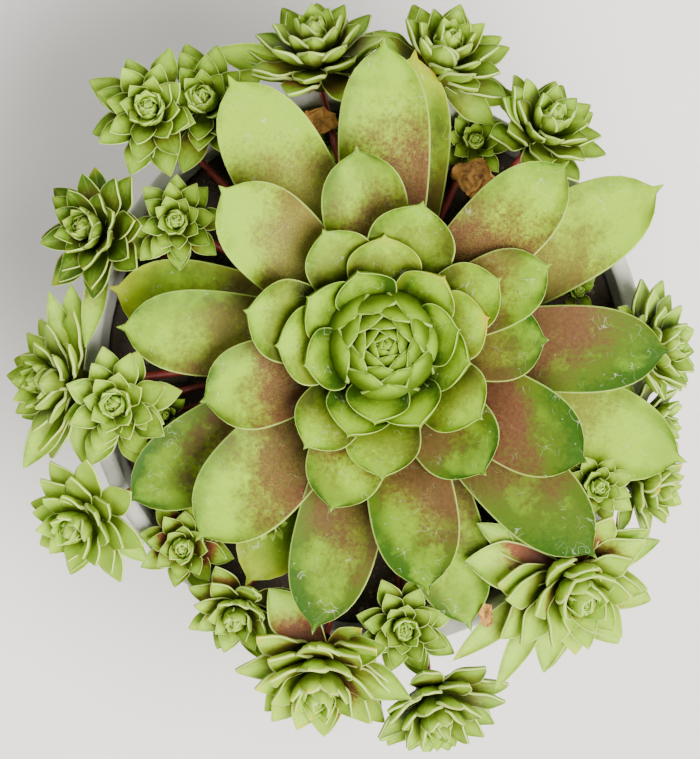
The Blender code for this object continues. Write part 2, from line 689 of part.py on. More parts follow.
def main():
    clear_scene()
    glaze = finish_material("pale_stoneware", (0.56, 0.56, 0.52), 0.55)
    earth = finish_material("potting_soil", (0.06, 0.045, 0.03), 0.95)
    hen_green = finish_material("hen_leaf", (0.33, 0.43, 0.11), 0.45)
    chick_green = finish_material("chick_leaf", (0.30, 0.40, 0.12), 0.5)
    stolon_red = finish_material("runner", (0.25, 0.09, 0.06), 0.55)
    dry_brown = finish_material("dry_leaf", (0.45, 0.26, 0.11), 0.8)

    pot = build_pot(glaze)
    soil = build_soil(earth)
    hen = build_hen(hen_green)
    fixed = [object_tree(pot), object_tree(soil), object_tree(hen)]

    cores = {chick.name: search_tree(*chick_core(chick)) for chick in CHICKS}
    runners = []
    by_azimuth = sorted(CHICKS, key=lambda chick: math.atan2(chick.y, chick.x))
    sources = {chick.name: (STEM_RADIUS + GAP, RUNNER_LEVELS[order % len(RUNNER_LEVELS)])
               for order, chick in enumerate(by_azimuth)}
    sources.update(LEAF_AXIL_RUNNERS)
    for chick in CHICKS:
        others = list(cores.values())
        others.remove(cores[chick.name])
        runner = build_runner(chick, sources[chick.name], stolon_red, fixed + others + runners,
                              cores[chick.name])
        runners.append(object_tree(runner))

    grown = []
    for chick in CHICKS:
        waiting = [cores[other.name] for other in CHICKS[len(grown) + 1:]]
        rosette = build_chick(chick, chick_green, fixed + runners + waiting + grown)
        grown.append(object_tree(rosette))

    lying = fixed + runners + grown
    for dry in DRY_LEAVES:
        built = build_dry_leaf(dry, dry_brown, lying)
        lying.append(object_tree(built))


main()
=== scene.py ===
"""Looks of the hens and chicks: fleshy leaves, stoneware pot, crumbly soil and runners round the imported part.

Metres, +Z up, in the part's own frame. Each rosette repeats the leaves of its solid at a finer pitch.
"""
import math
import random
from collections import namedtuple
from functools import partial
from itertools import product

import bpy
import numpy as np
from mathutils import Matrix, Vector, noise
from mathutils.bvhtree import BVHTree
from mathutils.kdtree import KDTree


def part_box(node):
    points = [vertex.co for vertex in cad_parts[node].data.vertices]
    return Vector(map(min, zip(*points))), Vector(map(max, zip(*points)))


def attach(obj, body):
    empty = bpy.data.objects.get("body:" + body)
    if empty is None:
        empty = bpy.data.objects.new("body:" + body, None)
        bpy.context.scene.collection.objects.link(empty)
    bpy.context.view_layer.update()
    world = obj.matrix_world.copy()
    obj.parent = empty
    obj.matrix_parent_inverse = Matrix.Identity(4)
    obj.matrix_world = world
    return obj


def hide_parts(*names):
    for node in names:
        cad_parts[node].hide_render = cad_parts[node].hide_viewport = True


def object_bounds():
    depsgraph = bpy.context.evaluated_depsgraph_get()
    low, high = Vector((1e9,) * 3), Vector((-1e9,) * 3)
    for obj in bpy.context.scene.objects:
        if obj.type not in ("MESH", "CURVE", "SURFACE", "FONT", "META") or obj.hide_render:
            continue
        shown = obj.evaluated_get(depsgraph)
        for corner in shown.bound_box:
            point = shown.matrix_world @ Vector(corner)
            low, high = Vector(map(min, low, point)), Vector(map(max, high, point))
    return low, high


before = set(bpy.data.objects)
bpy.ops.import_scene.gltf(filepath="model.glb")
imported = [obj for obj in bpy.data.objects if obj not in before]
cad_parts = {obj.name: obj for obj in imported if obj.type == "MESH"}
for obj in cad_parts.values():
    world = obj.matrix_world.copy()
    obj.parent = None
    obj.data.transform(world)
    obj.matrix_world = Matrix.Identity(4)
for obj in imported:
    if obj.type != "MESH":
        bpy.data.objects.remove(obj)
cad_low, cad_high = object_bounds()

MM = 0.001
GAP = 0.3 * MM

# Pot
POT_HEIGHT = 90 * MM
POT_RIM_RADIUS = 71 * MM
POT_BASE_RADIUS = 52 * MM
POT_WALL = 4.5 * MM
POT_FLOOR = 6 * MM
POT_BASE_ROUNDING = 2.5 * MM
POT_RIM_ROUNDING = 1.6 * MM
POT_SIDES = 144
POT_EDGE_ANGLE = 35
POT_ROUNDING_STEPS = 6
POT_WALL_LEVELS = range(6, 88, 6)
DRAIN_HOLES = 3
DRAIN_RADIUS = 4.5 * MM
DRAIN_CIRCLE = 28 * MM
DRAIN_SIDES = 48

# Soil
SOIL_EDGE_HEIGHT = 81.5 * MM
SOIL_DOME = 2.5 * MM
SOIL_LUMP = 1.2 * MM
SOIL_LUMP_PITCH = 12 * MM
SOIL_CRUMB = 0.55 * MM
SOIL_CRUMB_PITCH = 2.6 * MM
SOIL_RINGS = 70
SOIL_SIDES = 260
GRIT_BITS = 520
GRIT_SIZE = (0.3 * MM, 1.1 * MM)
GRIT_SPREAD = (0.02, 0.93)
GRIT_SQUASH = (0.5, 0.9)
GRIT_OUTLINE = ((0.5, -0.4), (1.0, 0.0), (0.75, 0.5), (0.3, 0.7))
GRIT_SIDES = 7
GRIT_EDGE_ANGLE = 30

# Hen
HEN_X = 4.75 * MM
HEN_Y = 5.0 * MM
STEM_FOOT = 60 * MM
STEM_RADIUS = 6.5 * MM
CROWN_HEIGHT = 99 * MM
HEN_ROOT_STEP = 0.25 * MM
# The two innermost layers step up and in from leaf to leaf, so that each lies over the one before. Their
# colours, with the painted shade at their bases, begin past the share of their length that other
# leaves hide
INNER_LEVEL = 3
INNER_STEP = (0.4 * MM, 0.3 * MM)
INNER_HIDDEN = 0.3
HEN_CORE = ((STEM_RADIUS, -3.5 * MM), (11.5 * MM, 4.0 * MM), (12.5 * MM, 12.0 * MM), (2.5 * MM, 26.0 * MM))
CORE_SIDES = 40
CORE_LOOK = (1, 0, 0.2)
HEN_MESH = (26, 10)
HEN_WAVE = 0.35 * MM
FLUSH_SPREAD = (0.75, 1.1)
TONE_SPREAD = 0.08

# Each layer of the hen: height of its roots above the crown and their distance from the axis in mm, rise
# at the root and bend to the tip in degrees, cup, thickness in mm, then its leaves as (azimuth in degrees,
# reach in mm, half width in mm); last the red flush and the lightness of the layer
Layer = namedtuple("Layer", "root_height root_radius rise curl cup thickness leaves flush tone")
HEN_LAYERS = (
    Layer(0.0, 7.0, 3, -2, 0.10, 3.2, (
        (84, 74.8, 11.3), (168, 70.5, 11.3), (-149, 76.0, 11.3), (-120, 69.5, 10.5),
        (-73, 74.8, 10.5), (-21, 81.3, 12.0), (30, 80.8, 11.5)), 0.85, 0.42),
    Layer(3.5, 8.5, 14, -9, 0.14, 3.4, (
        (120, 77.8, 12.3), (90, 76.8, 11.5), (-1, 71.8, 11.0), (-45, 74.8, 11.0),
        (-104, 74.0, 10.8), (-134, 67.5, 12.5), (176, 66.8, 10.8)), 1.0, 0.48),
    Layer(7.0, 10.5, 27, -14, 0.18, 3.6, (
        (45, 64.5, 10.5), (-30, 58.3, 11.3), (-80, 62.5, 11.0), (136, 57.0, 11.5), (98, 50.0, 10.8),
        (26, 47.0, 9.5), (-163, 47.8, 11.0), (2, 41.3, 10.0), (-108, 44.0, 10.0), (-52, 41.5, 11.0)),
        1.0, 0.5),
    Layer(10.5, 12.5, 44, -16, 0.24, 3.2, (
        (75, 36.8, 11.0), (166, 35.8, 10.5), (30, 33.3, 9.0), (118, 32.5, 9.0), (-91, 33.3, 9.5),
        (-128, 32.3, 8.5), (-37, 30.3, 9.5), (90, 27.5, 9.3), (15, 26.8, 9.0), (180, 27.0, 10.0)),
        0.4, 0.58),
    Layer(13.5, 12.5, 64, -22, 0.34, 2.6, (
        (-112, 24.3, 8.5), (49, 22.5, 8.3), (148, 22.5, 8.5), (-12, 21.8, 8.3), (-66, 22.0, 8.3),
        (194, 20.5, 8.0), (110, 19.5, 8.0), (-97, 19.5, 8.0), (12, 19.0, 8.0)), 0.05, 0.54),
)
# By layer and azimuth: leaves that are going yellow from the tip, leaves that are lighter or darker than
# the rest, partly painted light and shade of how the light falls on each leaf, and leaves that stand
# higher, in degrees, to lie over their neighbours
GOLDEN_LEAVES = {(0, 84): 0.8, (0, 168): 0.75, (0, -120): 0.55, (0, 30): 0.1,
                 (3, 90): 0.9, (3, 15): 1.0, (3, 30): 0.2, (4, 49): 0.9}
LEAF_TONES_AND_PAINTED_LIGHT = {(0, -21): 0.95, (0, 30): 0.95, (0, -149): 0.15, (0, -120): 0.05, (1, 90): 0.75, (1, 120): 1.2,
              (1, -1): -0.15, (1, -45): -0.15, (1, -104): 0.05, (1, -134): 0.65, (1, 176): 0.5, (2, 136): 1.1,
              (2, 45): 0.65, (2, -30): -0.25, (2, -52): 0.08, (2, 2): 0.1, (2, -80): 0.1, (2, 98): 0.55}
LIFTED_LEAVES = {(2, 26): 4, (2, -52): 3, (2, 2): 2, (2, -108): 3}

# Closed buds, with pairs of values for the first and the last leaf, and rise and curl in degrees. The hen's
# is the dome of its solid in more and sharper leaves, in mm. A chick's is in shares of the chick's reach
Bud = namedtuple("Bud", "leaves root_radius root_height crowding length half_width thickness rise curl cup")
HEN_BUD = Bud(34, (13.2, 0.6), (11.0, 26.5), 0.8, (16.8, 5.2), (8.6, 2.3), (1.7, 0.9), (56, 84), (92, 34),
              (0.2, 0.34))
CHICK_BUD = Bud(14, (0.15, 0.01), (0.40, 0.66), 1.0, (0.36, 0.15), (0.15, 0.05), (0.07, 0.035), (62, 84),
                (52, 24), (0.25, 0.25))
BUD_TONE = (0.66, 0.8)
BUD_HIDDEN = 0.5
BUD_MESH = (14, 8)
BUD_WAVE = 0.1 * MM
GOLDEN_ANGLE = 137.508

# Each chick: number, bud centre from the hen's axis and above the pot's base in mm, tilt and the azimuth
# that it leans to in degrees, reach of its leaves in mm, number of leaves, turn in degrees
Chick = namedtuple("Chick", "name x y z tilt lean reach leaves turn")
CHICKS = [Chick(f"chick_{number:02d}", *values) for number, *values in (
    (1, -58.8, 59.3, 104, 14, 135, 15.5, 13, 20),
    (4, -52.0, 31.3, 107, 5, 150, 12.0, 12, 75),
    (6, -67.3, -14.8, 103.5, 8, 190, 15.0, 13, 50),
    (12, 5.0, -70.8, 104, 10, -80, 13.0, 12, 10),
    (15, 53.3, -35.0, 108, 12, -35, 10.5, 11, 5),
    (14, 49.0, -62.3, 106, 38, -55, 22.0, 14, 40),
    (11, -16.3, -86.0, 103, 50, -98, 21.0, 14, 0),
    (20, 16.0, 75.0, 101.5, 50, 70, 18.5, 14, 30),
    (21, -17.3, 77.2, 100, 58, 98, 19.0, 14, 65),
    (19, 41.8, 56.3, 101.5, 46, 50, 17.0, 13, 15),
    (3, -74.3, 29.5, 103, 36, 165, 16.5, 13, 60),
    (5, -85.0, -8.8, 99.5, 56, 178, 18.0, 13, 25),
    (8, -77.5, -45.3, 100, 44, -145, 16.5, 13, 80),
    (10, -37.0, -68.0, 101.5, 38, -110, 14.0, 12, 35),
    (13, 13.3, -94.0, 96, 58, -80, 18.0, 13, 45),
    (9, -50.3, -50.3, 97.5, 15, -135, 12.5, 11, 70),
    (2, -44.8, 61.5, 103, 20, 110, 16.0, 12, 5),
    (17, 71.0, 0.0, 99, 60, 5, 16.5, 12, 55),
    (16, 69.0, -36.0, 97.5, 62, -22, 14.0, 11, 30),
    (18, 69.5, -20.0, 97.5, 68, -12, 13.5, 10, 85),
    (22, 23.0, 51.5, 94, 15, 60, 10.0, 9, 15),
    (23, -11.8, 52.8, 93.5, 10, 100, 9.0, 9, 40),
    (7, -54.8, -17.3, 97, 10, -160, 6.0, 7, 60),
    (25, 48.5, 14.0, 96, 15, 16, 6.0, 7, 20),
    (24, -29.0, -45.3, 107.0, 45, -120, 5.0, 7, 0),
)]
CHICK_RISE = (6, 80)
CHICK_CROWDING = (1.5, 1.3)
CHICK_CURL = (14, 30)
CHICK_LENGTH = (0.98, 0.46)
CHICK_HALF_WIDTH = (0.28, 0.17)
CHICK_THICKNESS = (0.12, 0.09)
CHICK_ROOT_RADIUS = (0.18, 0.04)
CHICK_ROOT_HEIGHT = (0.03, 0.40)
CHICK_CUP = (0.22, 0.40)
THINNEST_BLADE = 0.8 * MM
CHICK_STRAY = (4, 6, 0.06)
BUD_RATIO = 0.55
STUB_RATIO = 0.22
CHICK_CORE = ((0.12, -STUB_RATIO), (0.25, 0.06), (0.05, 0.52))
CHICK_CORE_SIDES = 20
CHICK_CORE_LOOK = (0.6, 0, 0.25)
CHICK_SLIM = 0.92
CHICK_HIDDEN = (0.12, 0.42)
CHICK_MESH = (12, 6)
CHICK_WAVE = 0.02
CHICK_BUD_MESH = (8, 5)
CHICK_BUD_LIGHTER = 0.2
TIP_MATCH = 0.02 * MM
FILLING_LENGTH = 0.95
BIG_CHICK_REACH = 9
# How much redder, yellower or lighter a leaf is than its chick
CHICK_FLUSHES = (0.3, 0.6, 1.0, 1.7)
CHICK_FLUSH_FADE = (1.2, 0.3)
CHICK_GOLDS = (0.2, 0.6, 1.0, 3.0)
CHICK_TONE_SPREAD = 0.12
CHICK_TONE_RISE = (-0.08, 0.1)
# How red, how yellow and how light each chick is, where it differs from the common look. Their lightness
# is partly painted light and shade of how each tilted chick faces the light
COMMON_CHICK_LOOK = (0.22, 0.04, 0.62)
CHICK_LOOKS_AND_PAINTED_LIGHT = {
    "chick_03": (0.3, 0.12, 0.08), "chick_05": (0.2, 0.1, 0.7), "chick_06": (0.1, 0.15, 0.85),
    "chick_08": (0.15, 0.06, 1.15), "chick_09": (0.8, 0.05, 0.6), "chick_11": (0.8, 0.25, 0.9),
    "chick_14": (0.65, 0.15, 0.9), "chick_10": (0.5, 0.06, 0.6), "chick_16": (0.2, 0.4, 0.6),
    "chick_21": (0.6, 0.05, 0.5), "chick_20": (0.4, 0.05, 0.62), "chick_02": (0.3, 0.05, 0.55),
}
# Leaves that reach far past their chick: tip from the hen's axis, half width and height of the root above the
# chick's foot in mm, rise in degrees, then how red and how yellow they are
LONG_LEAVES = {
    "chick_14": (
        (19.8, -53.5, 6.2, 7.0, 4, 1.3, 0.0), (22.8, -44.0, 3.8, 7.0, 3, 0.8, 0.0),
        (27.8, -86.0, 3.3, 1.5, -4, 0.2, 0.1), (17.0, -78.8, 3.5, 1.5, -1, 0.5, 0.3),
        (40.0, -82.0, 4.5, 1.5, -8, 0.3, 0.0), (69.3, -48.5, 4.0, 1.5, 0, 0.5, 0.0)),
    "chick_11": (
        (-29.0, -60.3, 6.0, 5.0, 3, 1.2, 0.0), (9.8, -73.5, 4.0, 1.5, 8, 0.8, 0.0),
        (8.5, -88.8, 4.5, 1.5, 0, 0.4, 0.0), (-4.0, -69.3, 3.5, 5.0, 10, 0.9, 0.9)),
    "chick_05": (
        (-78.5, 15.8, 3.6, 1.5, 0, 0.3, 0.0), (-84.0, 14.0, 3.0, 1.5, 2, 0.2, 0.0),
        (-90.5, -30.8, 4.0, 1.5, -6, 0.3, 0.0), (-74.5, -31.0, 3.6, 1.5, -2, 0.6, 0.0)),
    "chick_03": ((-74.8, -0.5, 3.0, 1.5, -2, 0.4, 0.0), (-57.5, 24.0, 4.0, 1.5, -4, 1.0, 0.3)),
    "chick_20": ((33.0, 61.5, 4.0, 1.5, 0, 0.3, 0.0), (27.8, 55.3, 3.8, 1.5, -3, 0.3, 0.0)),
    "chick_21": ((-43.5, 74.3, 4.0, 1.5, 0, 0.2, 0.0),),
    "chick_08": ((-59.0, -54.3, 3.2, 1.5, -2, 0.2, 0.0),),
}
LONG_ROOT = 1.5 * MM
LONG_THICKNESS = 1.7 * MM
LONG_CURL = 9
LONG_CUP = 0.3
LONG_TONE = 0.7
LONG_MESH = (20, 8)
LONG_WAVE = 0.3 * MM

# Bends in degrees and shortenings that are tried in turn until a leaf is clear of its neighbours
BENDS = ((0, 1.0), (-9, 1.0), (9, 1.0), (-18, 1.0), (18, 1.0), (-28, 1.0), (28, 1.0), (-40, 1.0),
         (40, 1.0), (0, 0.8), (-18, 0.8), (18, 0.8), (-34, 0.8), (34, 0.8), (0, 0.62), (-24, 0.62),
         (24, 0.62))

# Runners
RUNNER_RADIUS = 1.05 * MM
SMALL_RUNNER_RADIUS = 0.65 * MM
SMALL_CHICK_REACH = 7
RUNNER_COARSE_SIDES = 5
RUNNER_COARSE_STEPS = 4
RUNNER_SIDES = 12
RUNNER_STEPS = 40
RUNNER_HANDLES = (0.4, 0.2)
RUNNER_LATE_SWING = 0.3
NEARLY_UPRIGHT = 0.2
RUNNER_TAPER = (0.94, 0.12)
RUNNER_WOBBLE = (0.03, 31)
RUNNER_JOINTS = 3
JOINT_SPREAD = (0.15, 0.9)
JOINT_LENGTH = 0.03
JOINT_SWELL = 0.12
RUNNER_LEVELS = (87.2 * MM, 90.2 * MM, 93.2 * MM)
LEAF_AXIL_RUNNERS = {"chick_24": (24.0 * MM, 103.4 * MM)}
RUNNER_SAGS = (0, 1.5, -1.5, 3, -3, 4.5, -4.5, 6, -6, 8, -8, 11, -11)
RUNNER_SWINGS = (0, 4, -4, 8, -8, 12, -12, 16, -16)
RUNNER_ARRIVALS = (1.0, 0.5, 0.0, -0.5, -1.0)
GUARD_MARGIN = 1.3 * GAP
GUARD_STATIONS = (0.0, 0.3, 0.55, 0.8, 1.0)

# Dry leaves
DryLeaf = namedtuple("DryLeaf", "name x y azimuth length half_width curl cup")
DRY_LEAVES = (
    DryLeaf("dry_leaf_1", -20.5, 57.5, -12, 10.5, 3.2, 70, 0.55),
    DryLeaf("dry_leaf_2", 17.0, 44.0, -20, 12.5, 5.0, 80, 0.7),
    DryLeaf("dry_leaf_3", 26.0, -70.0, 100, 6.5, 2.0, 60, 0.5),
)
DRY_THICKNESS = 0.9 * MM
DRY_STATIONS = (0.0, 0.2, 0.4, 0.6, 0.8)
DRY_COLUMNS = (-1.0, -0.5, 0.0, 0.5, 1.0)
DRY_MESH = (56, 24)
DRY_PUSH = Vector((0.4, 0.3, 0.85))
DRY_CREASE_LEVEL = 0.3
DRY_CREASE = 4.0 * MM
DRY_CREASE_PITCH = 3.4 * MM
DRY_PUCKER = 0.9 * MM
DRY_PUCKER_PITCH = 1.2 * MM

# Camera and studio: the photograph looks straight down
IMAGE_HEIGHT = 759
PIXEL = 0.25 * MM
VIEW_CENTRE = Vector((-3.75 * MM, -3.375 * MM, 100 * MM))
CAMERA_RISE = 1.9
SENSOR = 36.0
FLOOR_HALF = 3.0
# Each light: name, position, size in metres, power in watts, colour
STUDIO_LIGHTS = (("key_softbox", (0.6, -0.55, 1.4), 1.1, 78, (1.0, 0.97, 0.91)),
                 ("fill_softbox", (-0.7, 0.7, 1.2), 1.2, 12, (1.0, 0.99, 0.97)))
AIR_COLOUR = (1.0, 0.99, 0.97, 1.0)
AIR_STRENGTH = 0.28

# Leaf form: broad leaves of the hen, and lance-shaped ones for buds, chicks and dry leaves
Leaf = namedtuple("Leaf", "azimuth root_radius root_height length half_width thickness rise curl cup sharp")
LANCE_ROOT, LANCE_PEAK = 0.4, 0.6
BROAD_ROOT, BROAD_PEAK = 0.45, 0.62
SHOULDER_RUN = 0.33
CUSP_WIDTH = 0.28
CUSP_RUN = 0.12
UPPER_FULLNESS = 0.8
LOWER_FULLNESS = 1.2
LANCE_TAPER = (1.45, 0.92)
SHOULDER_ROUND = (2.4, 0.5)
ROOT_DEPTH = 0.8
BELLY = 0.35
EDGE_ROUND = 0.6
RIM_START = 0.7
RIM_ROLL = 0.06
TIP_RINGS = (0.5, 0.18)
RIPPLES = ((9, 13), (5, 8))


# Leaf forms


def lerp(first, last, share):
    return first + (last - first) * share


def outline(share, sharp):
    """Half width along a leaf, for an array of shares of its length."""
    root, peak = (LANCE_ROOT, LANCE_PEAK) if sharp else (BROAD_ROOT, BROAD_PEAK)
    share = np.asarray(share, float)
    low = root + (1 - root) * np.sin(0.5 * math.pi * np.minimum(share, peak) / peak)
    past = np.maximum(share - peak, 0)
    inner, outer = LANCE_TAPER if sharp else SHOULDER_ROUND
    if sharp:
        high = np.maximum(1 - (past / (1 - peak)) ** inner, 0) ** outer
    else:
        shoulder = np.maximum(1 - np.minimum(past / SHOULDER_RUN, 1) ** inner, 0) ** outer
        cusp = np.minimum(CUSP_WIDTH * (1 - share) / CUSP_RUN, CUSP_WIDTH)
        high = np.maximum(shoulder, cusp)
    return np.where(share <= peak, low, high)


def leaf_points(leaf, share, side, depth):
    """Points of a leaf for arrays of shares along it, sides across it and depths above its middle."""
    share, side, depth = np.broadcast_arrays(share, side, depth)
    slope = leaf.rise + leaf.curl * share
    out = leaf.root_radius + leaf.length / leaf.curl * (np.sin(slope) - math.sin(leaf.rise))
    height = leaf.root_height + leaf.length / leaf.curl * (math.cos(leaf.rise) - np.cos(slope))
    width = leaf.half_width * outline(share, leaf.sharp)
    lift = leaf.cup * width * side * side + depth
    out = out - np.sin(slope) * lift
    height = height + np.cos(slope) * lift
    across = width * side
    turn_cos = math.cos(leaf.azimuth)
    turn_sin = math.sin(leaf.azimuth)
    return np.stack([out * turn_cos - across * turn_sin, out * turn_sin + across * turn_cos, height], -1)


def half_depth(leaf, share, side):
    along = ROOT_DEPTH + BELLY * np.sin(math.pi * share) - BELLY * share
    return 0.5 * leaf.thickness * along * np.maximum(1 - side * side, 0) ** EDGE_ROUND


def placed(points, place):
    """Points moved by a matrix."""
    matrix = np.array(place)
    return points @ matrix[:3, :3].T + matrix[:3, 3]


def leaf_tip(leaf, place):
    return Vector(placed(leaf_points(leaf, 1.0, 0.0, 0.0), place))


def guard_tree(leaf, place):
    """A leaf swollen by the gap, to find whether it has room."""
    wide = leaf._replace(half_width=leaf.half_width + GUARD_MARGIN, length=leaf.length + GAP)
    share = np.array(GUARD_STATIONS)[:, None]
    side = np.array([-1.0, 0.0, 1.0, 1.0, 0.0, -1.0])
    fullness = np.array([UPPER_FULLNESS] * 3 + [-LOWER_FULLNESS] * 3)
    depth = fullness * half_depth(leaf, share, side) + np.sign(fullness) * GUARD_MARGIN
    points = placed(leaf_points(wide, share, side, depth), place).reshape(-1, 3)
    quads = ring_faces(len(GUARD_STATIONS), len(side))
    faces = [half for a, b, c, d in quads for half in ((a, b, c), (a, c, d))]
    return BVHTree.FromPolygons(points.tolist(), faces)


def in_scene(name, data):
    """A new object, linked to the scene."""
    thing = bpy.data.objects.new(name, data)
    bpy.context.scene.collection.objects.link(thing)
    return thing


class Skin:
    """Gathers closed leaves and other skins into one mesh, with what its finish reads from each point."""

    def __init__(self):
        self.points = []
        self.faces = []
        self.flesh = []
        self.place = []
        self.look = []
        self.size = 0

    def add(self, points, faces, flesh=None, place=None, look=(0.0, 0.0, 0.5)):
        count = len(points)
        self.points.append(np.asarray(points, float))
        self.faces.extend(tuple(corner + self.size for corner in face) for face in faces)
        self.flesh.append(np.zeros((count, 3)) if flesh is None else flesh)
        self.place.append(np.zeros((count, 3)) if place is None else place)
        self.look.append(np.tile(look, (count, 1)))
        self.size += count

    def build(self, name, material, slot, *nodes):
        """The finished piece, riding with the part in place of its CAD nodes."""
        points = np.clip(np.concatenate(self.points), np.array(cad_low), np.array(cad_high))
        mesh = bpy.data.meshes.new(name)
        mesh.from_pydata(points.tolist(), [], self.faces)
        for title, values in (("flesh", self.flesh), ("place", self.place), ("look", self.look)):
            layer = mesh.attributes.new(title, "FLOAT_VECTOR", "POINT")
            layer.data.foreach_set("vector", np.concatenate(values).astype(np.float32).ravel())
        mesh.shade_smooth()
        mesh.materials.append(material)
        piece = in_scene(name, mesh)
        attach(piece, "root")
        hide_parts(*nodes)
        return piece


def ring_faces(rings, sides):
    """Faces between rings that have the same number of points."""
    faces = []
    for low in range(0, (rings - 1) * sides, sides):
        for step in range(sides):
            a = low + step
            b = low + (step + 1) % sides
            faces.append((a, b, b + sides, a + sides))
    return faces


def add_leaf(skin, leaf, place, look, mesh, draw, wave=0.0, hidden=0.0):
    """One fleshy leaf: rings of points round it from the root to the tip, mesh giving their number and half
    the points of each. Its colours begin past the hidden share of its length."""
    stations, columns = mesh
    share = np.linspace(0, 1, stations + 1)[:-1]
    share = np.append(share, [1 - part / stations for part in TIP_RINGS])
    turn = math.pi * np.arange(2 * columns) / columns
    side = -np.cos(turn)
    upper = (np.sin(turn) > -1e-9).astype(float)
    fullness = np.where(upper > 0, UPPER_FULLNESS, -LOWER_FULLNESS)
    along = share[:, None]
    depth = fullness * half_depth(leaf, along, side)
    ripple = np.sin(along * draw.uniform(*RIPPLES[0]) + draw.uniform(0, 6)) * side
    ripple += np.sin(along * draw.uniform(*RIPPLES[1]) + draw.uniform(0, 6)) * side * side
    depth = depth + wave * ripple * np.sin(math.pi * along)
    rim = np.maximum((np.abs(side) - RIM_START) / (1 - RIM_START), 0) ** 2
    depth = depth + RIM_ROLL * leaf.half_width * rim
    points = leaf_points(leaf, along, side, depth).reshape(-1, 3)
    tip = leaf_points(leaf, 1.0, 0.0, 0.0)
    points = placed(np.vstack([points, tip]), place)
    size = 2 * columns
    faces = [tuple(reversed(range(size)))] + ring_faces(len(share), size)
    last = (len(share) - 1) * size
    for step in range(size):
        faces.append((last + step, last + (step + 1) % size, last + size))
    width = leaf.half_width * outline(along, leaf.sharp)
    offset = draw.uniform(0, 1)
    flesh = np.stack(np.broadcast_arrays(along * leaf.length, width * side, offset + 0 * side), -1)
    flesh = np.vstack([flesh.reshape(-1, 3), [leaf.length, 0, offset]])
    # The hidden share moves the painted shade at the leaf's base to where it comes out from under other leaves
    open_share = np.maximum(along - hidden, 0) / (1 - hidden)
    spots = np.stack(np.broadcast_arrays(open_share + 0 * side, side + 0 * along, upper + 0 * along), -1)
    spots = np.vstack([spots.reshape(-1, 3), [1, 0, 1]])
    skin.add(points, faces, flesh, spots, look)


def turned(profile, sides, place=Matrix.Identity(4)):
    """Points and faces of an outline of (radius, height) turned about +Z, closed by flat ends."""
    angle = 2 * math.pi * np.arange(sides) / sides
    rings = [np.stack([radius * np.cos(angle), radius * np.sin(angle), np.full(sides, height)], -1)
             for radius, height in profile]
    faces = [tuple(reversed(range(sides)))] + ring_faces(len(profile), sides)
    last = (len(profile) - 1) * sides
    faces.append(tuple(range(last, last + sides)))
    return placed(np.concatenate(rings), place), faces


# Node helpers


def put(tree, kind, sockets=(), **settings):
    """Adds a node with its settings; sockets maps an input to a value or to what feeds it."""
    made = tree.nodes.new(kind)
    for name, value in settings.items():
        setattr(made, name, value)
    for socket, value in dict(sockets).items():
        if isinstance(value, bpy.types.NodeSocket):
            tree.links.new(value, made.inputs[socket])
        else:
            made.inputs[socket].default_value = value
    return made


def calc(tree, operation, first, second=0.0, clamp=False):
    made = put(tree, "ShaderNodeMath", {0: first, 1: second}, operation=operation, use_clamp=clamp)
    return made.outputs[0]


def ramp(tree, value, low, high, to_low=0.0, to_high=1.0):
    """A smooth step of value from low to high."""
    made = put(tree, "ShaderNodeMapRange", {0: value, 1: low, 2: high, 3: to_low, 4: to_high},
               interpolation_type="SMOOTHSTEP")
    return made.outputs[0]


def blend(tree, factor, first, second, mode="MIX"):
    made = put(tree, "ShaderNodeMix", {0: factor, 6: first, 7: second}, data_type="RGBA", blend_type=mode)
    return made.outputs[2]


def noise_of(tree, vector, scale, detail=2.0, distortion=0.0, roughness=0.5):
    made = put(tree, "ShaderNodeTexNoise", {"Vector": vector, "Scale": scale, "Detail": detail,
                                            "Distortion": distortion, "Roughness": roughness})
    return made.outputs[0]


def colour(red, green, blue):
    return (red, green, blue, 1.0)


def new_group(name, colours, numbers, vectors=()):
    """An empty shader group with these inputs, and Colour, Roughness and Height as its outputs. It comes with
    its sockets and with the sums, steps and mixes that it is made of."""
    group = bpy.data.node_groups.new(name, "ShaderNodeTree")
    for kind, titles in (("Color", colours), ("Float", numbers), ("Vector", vectors)):
        for title in titles:
            group.interface.new_socket(title, in_out="INPUT", socket_type="NodeSocket" + kind)
    for title, kind in (("Colour", "Color"), ("Roughness", "Float"), ("Height", "Float")):
        group.interface.new_socket(title, in_out="OUTPUT", socket_type="NodeSocket" + kind)
    given = group.nodes.new("NodeGroupInput").outputs
    result = group.nodes.new("NodeGroupOutput").inputs
    sums = [partial(calc, group, kind) for kind in ("ADD", "SUBTRACT", "MULTIPLY", "MAXIMUM")]
    return (group, given, result, *sums, partial(ramp, group), partial(blend, group))


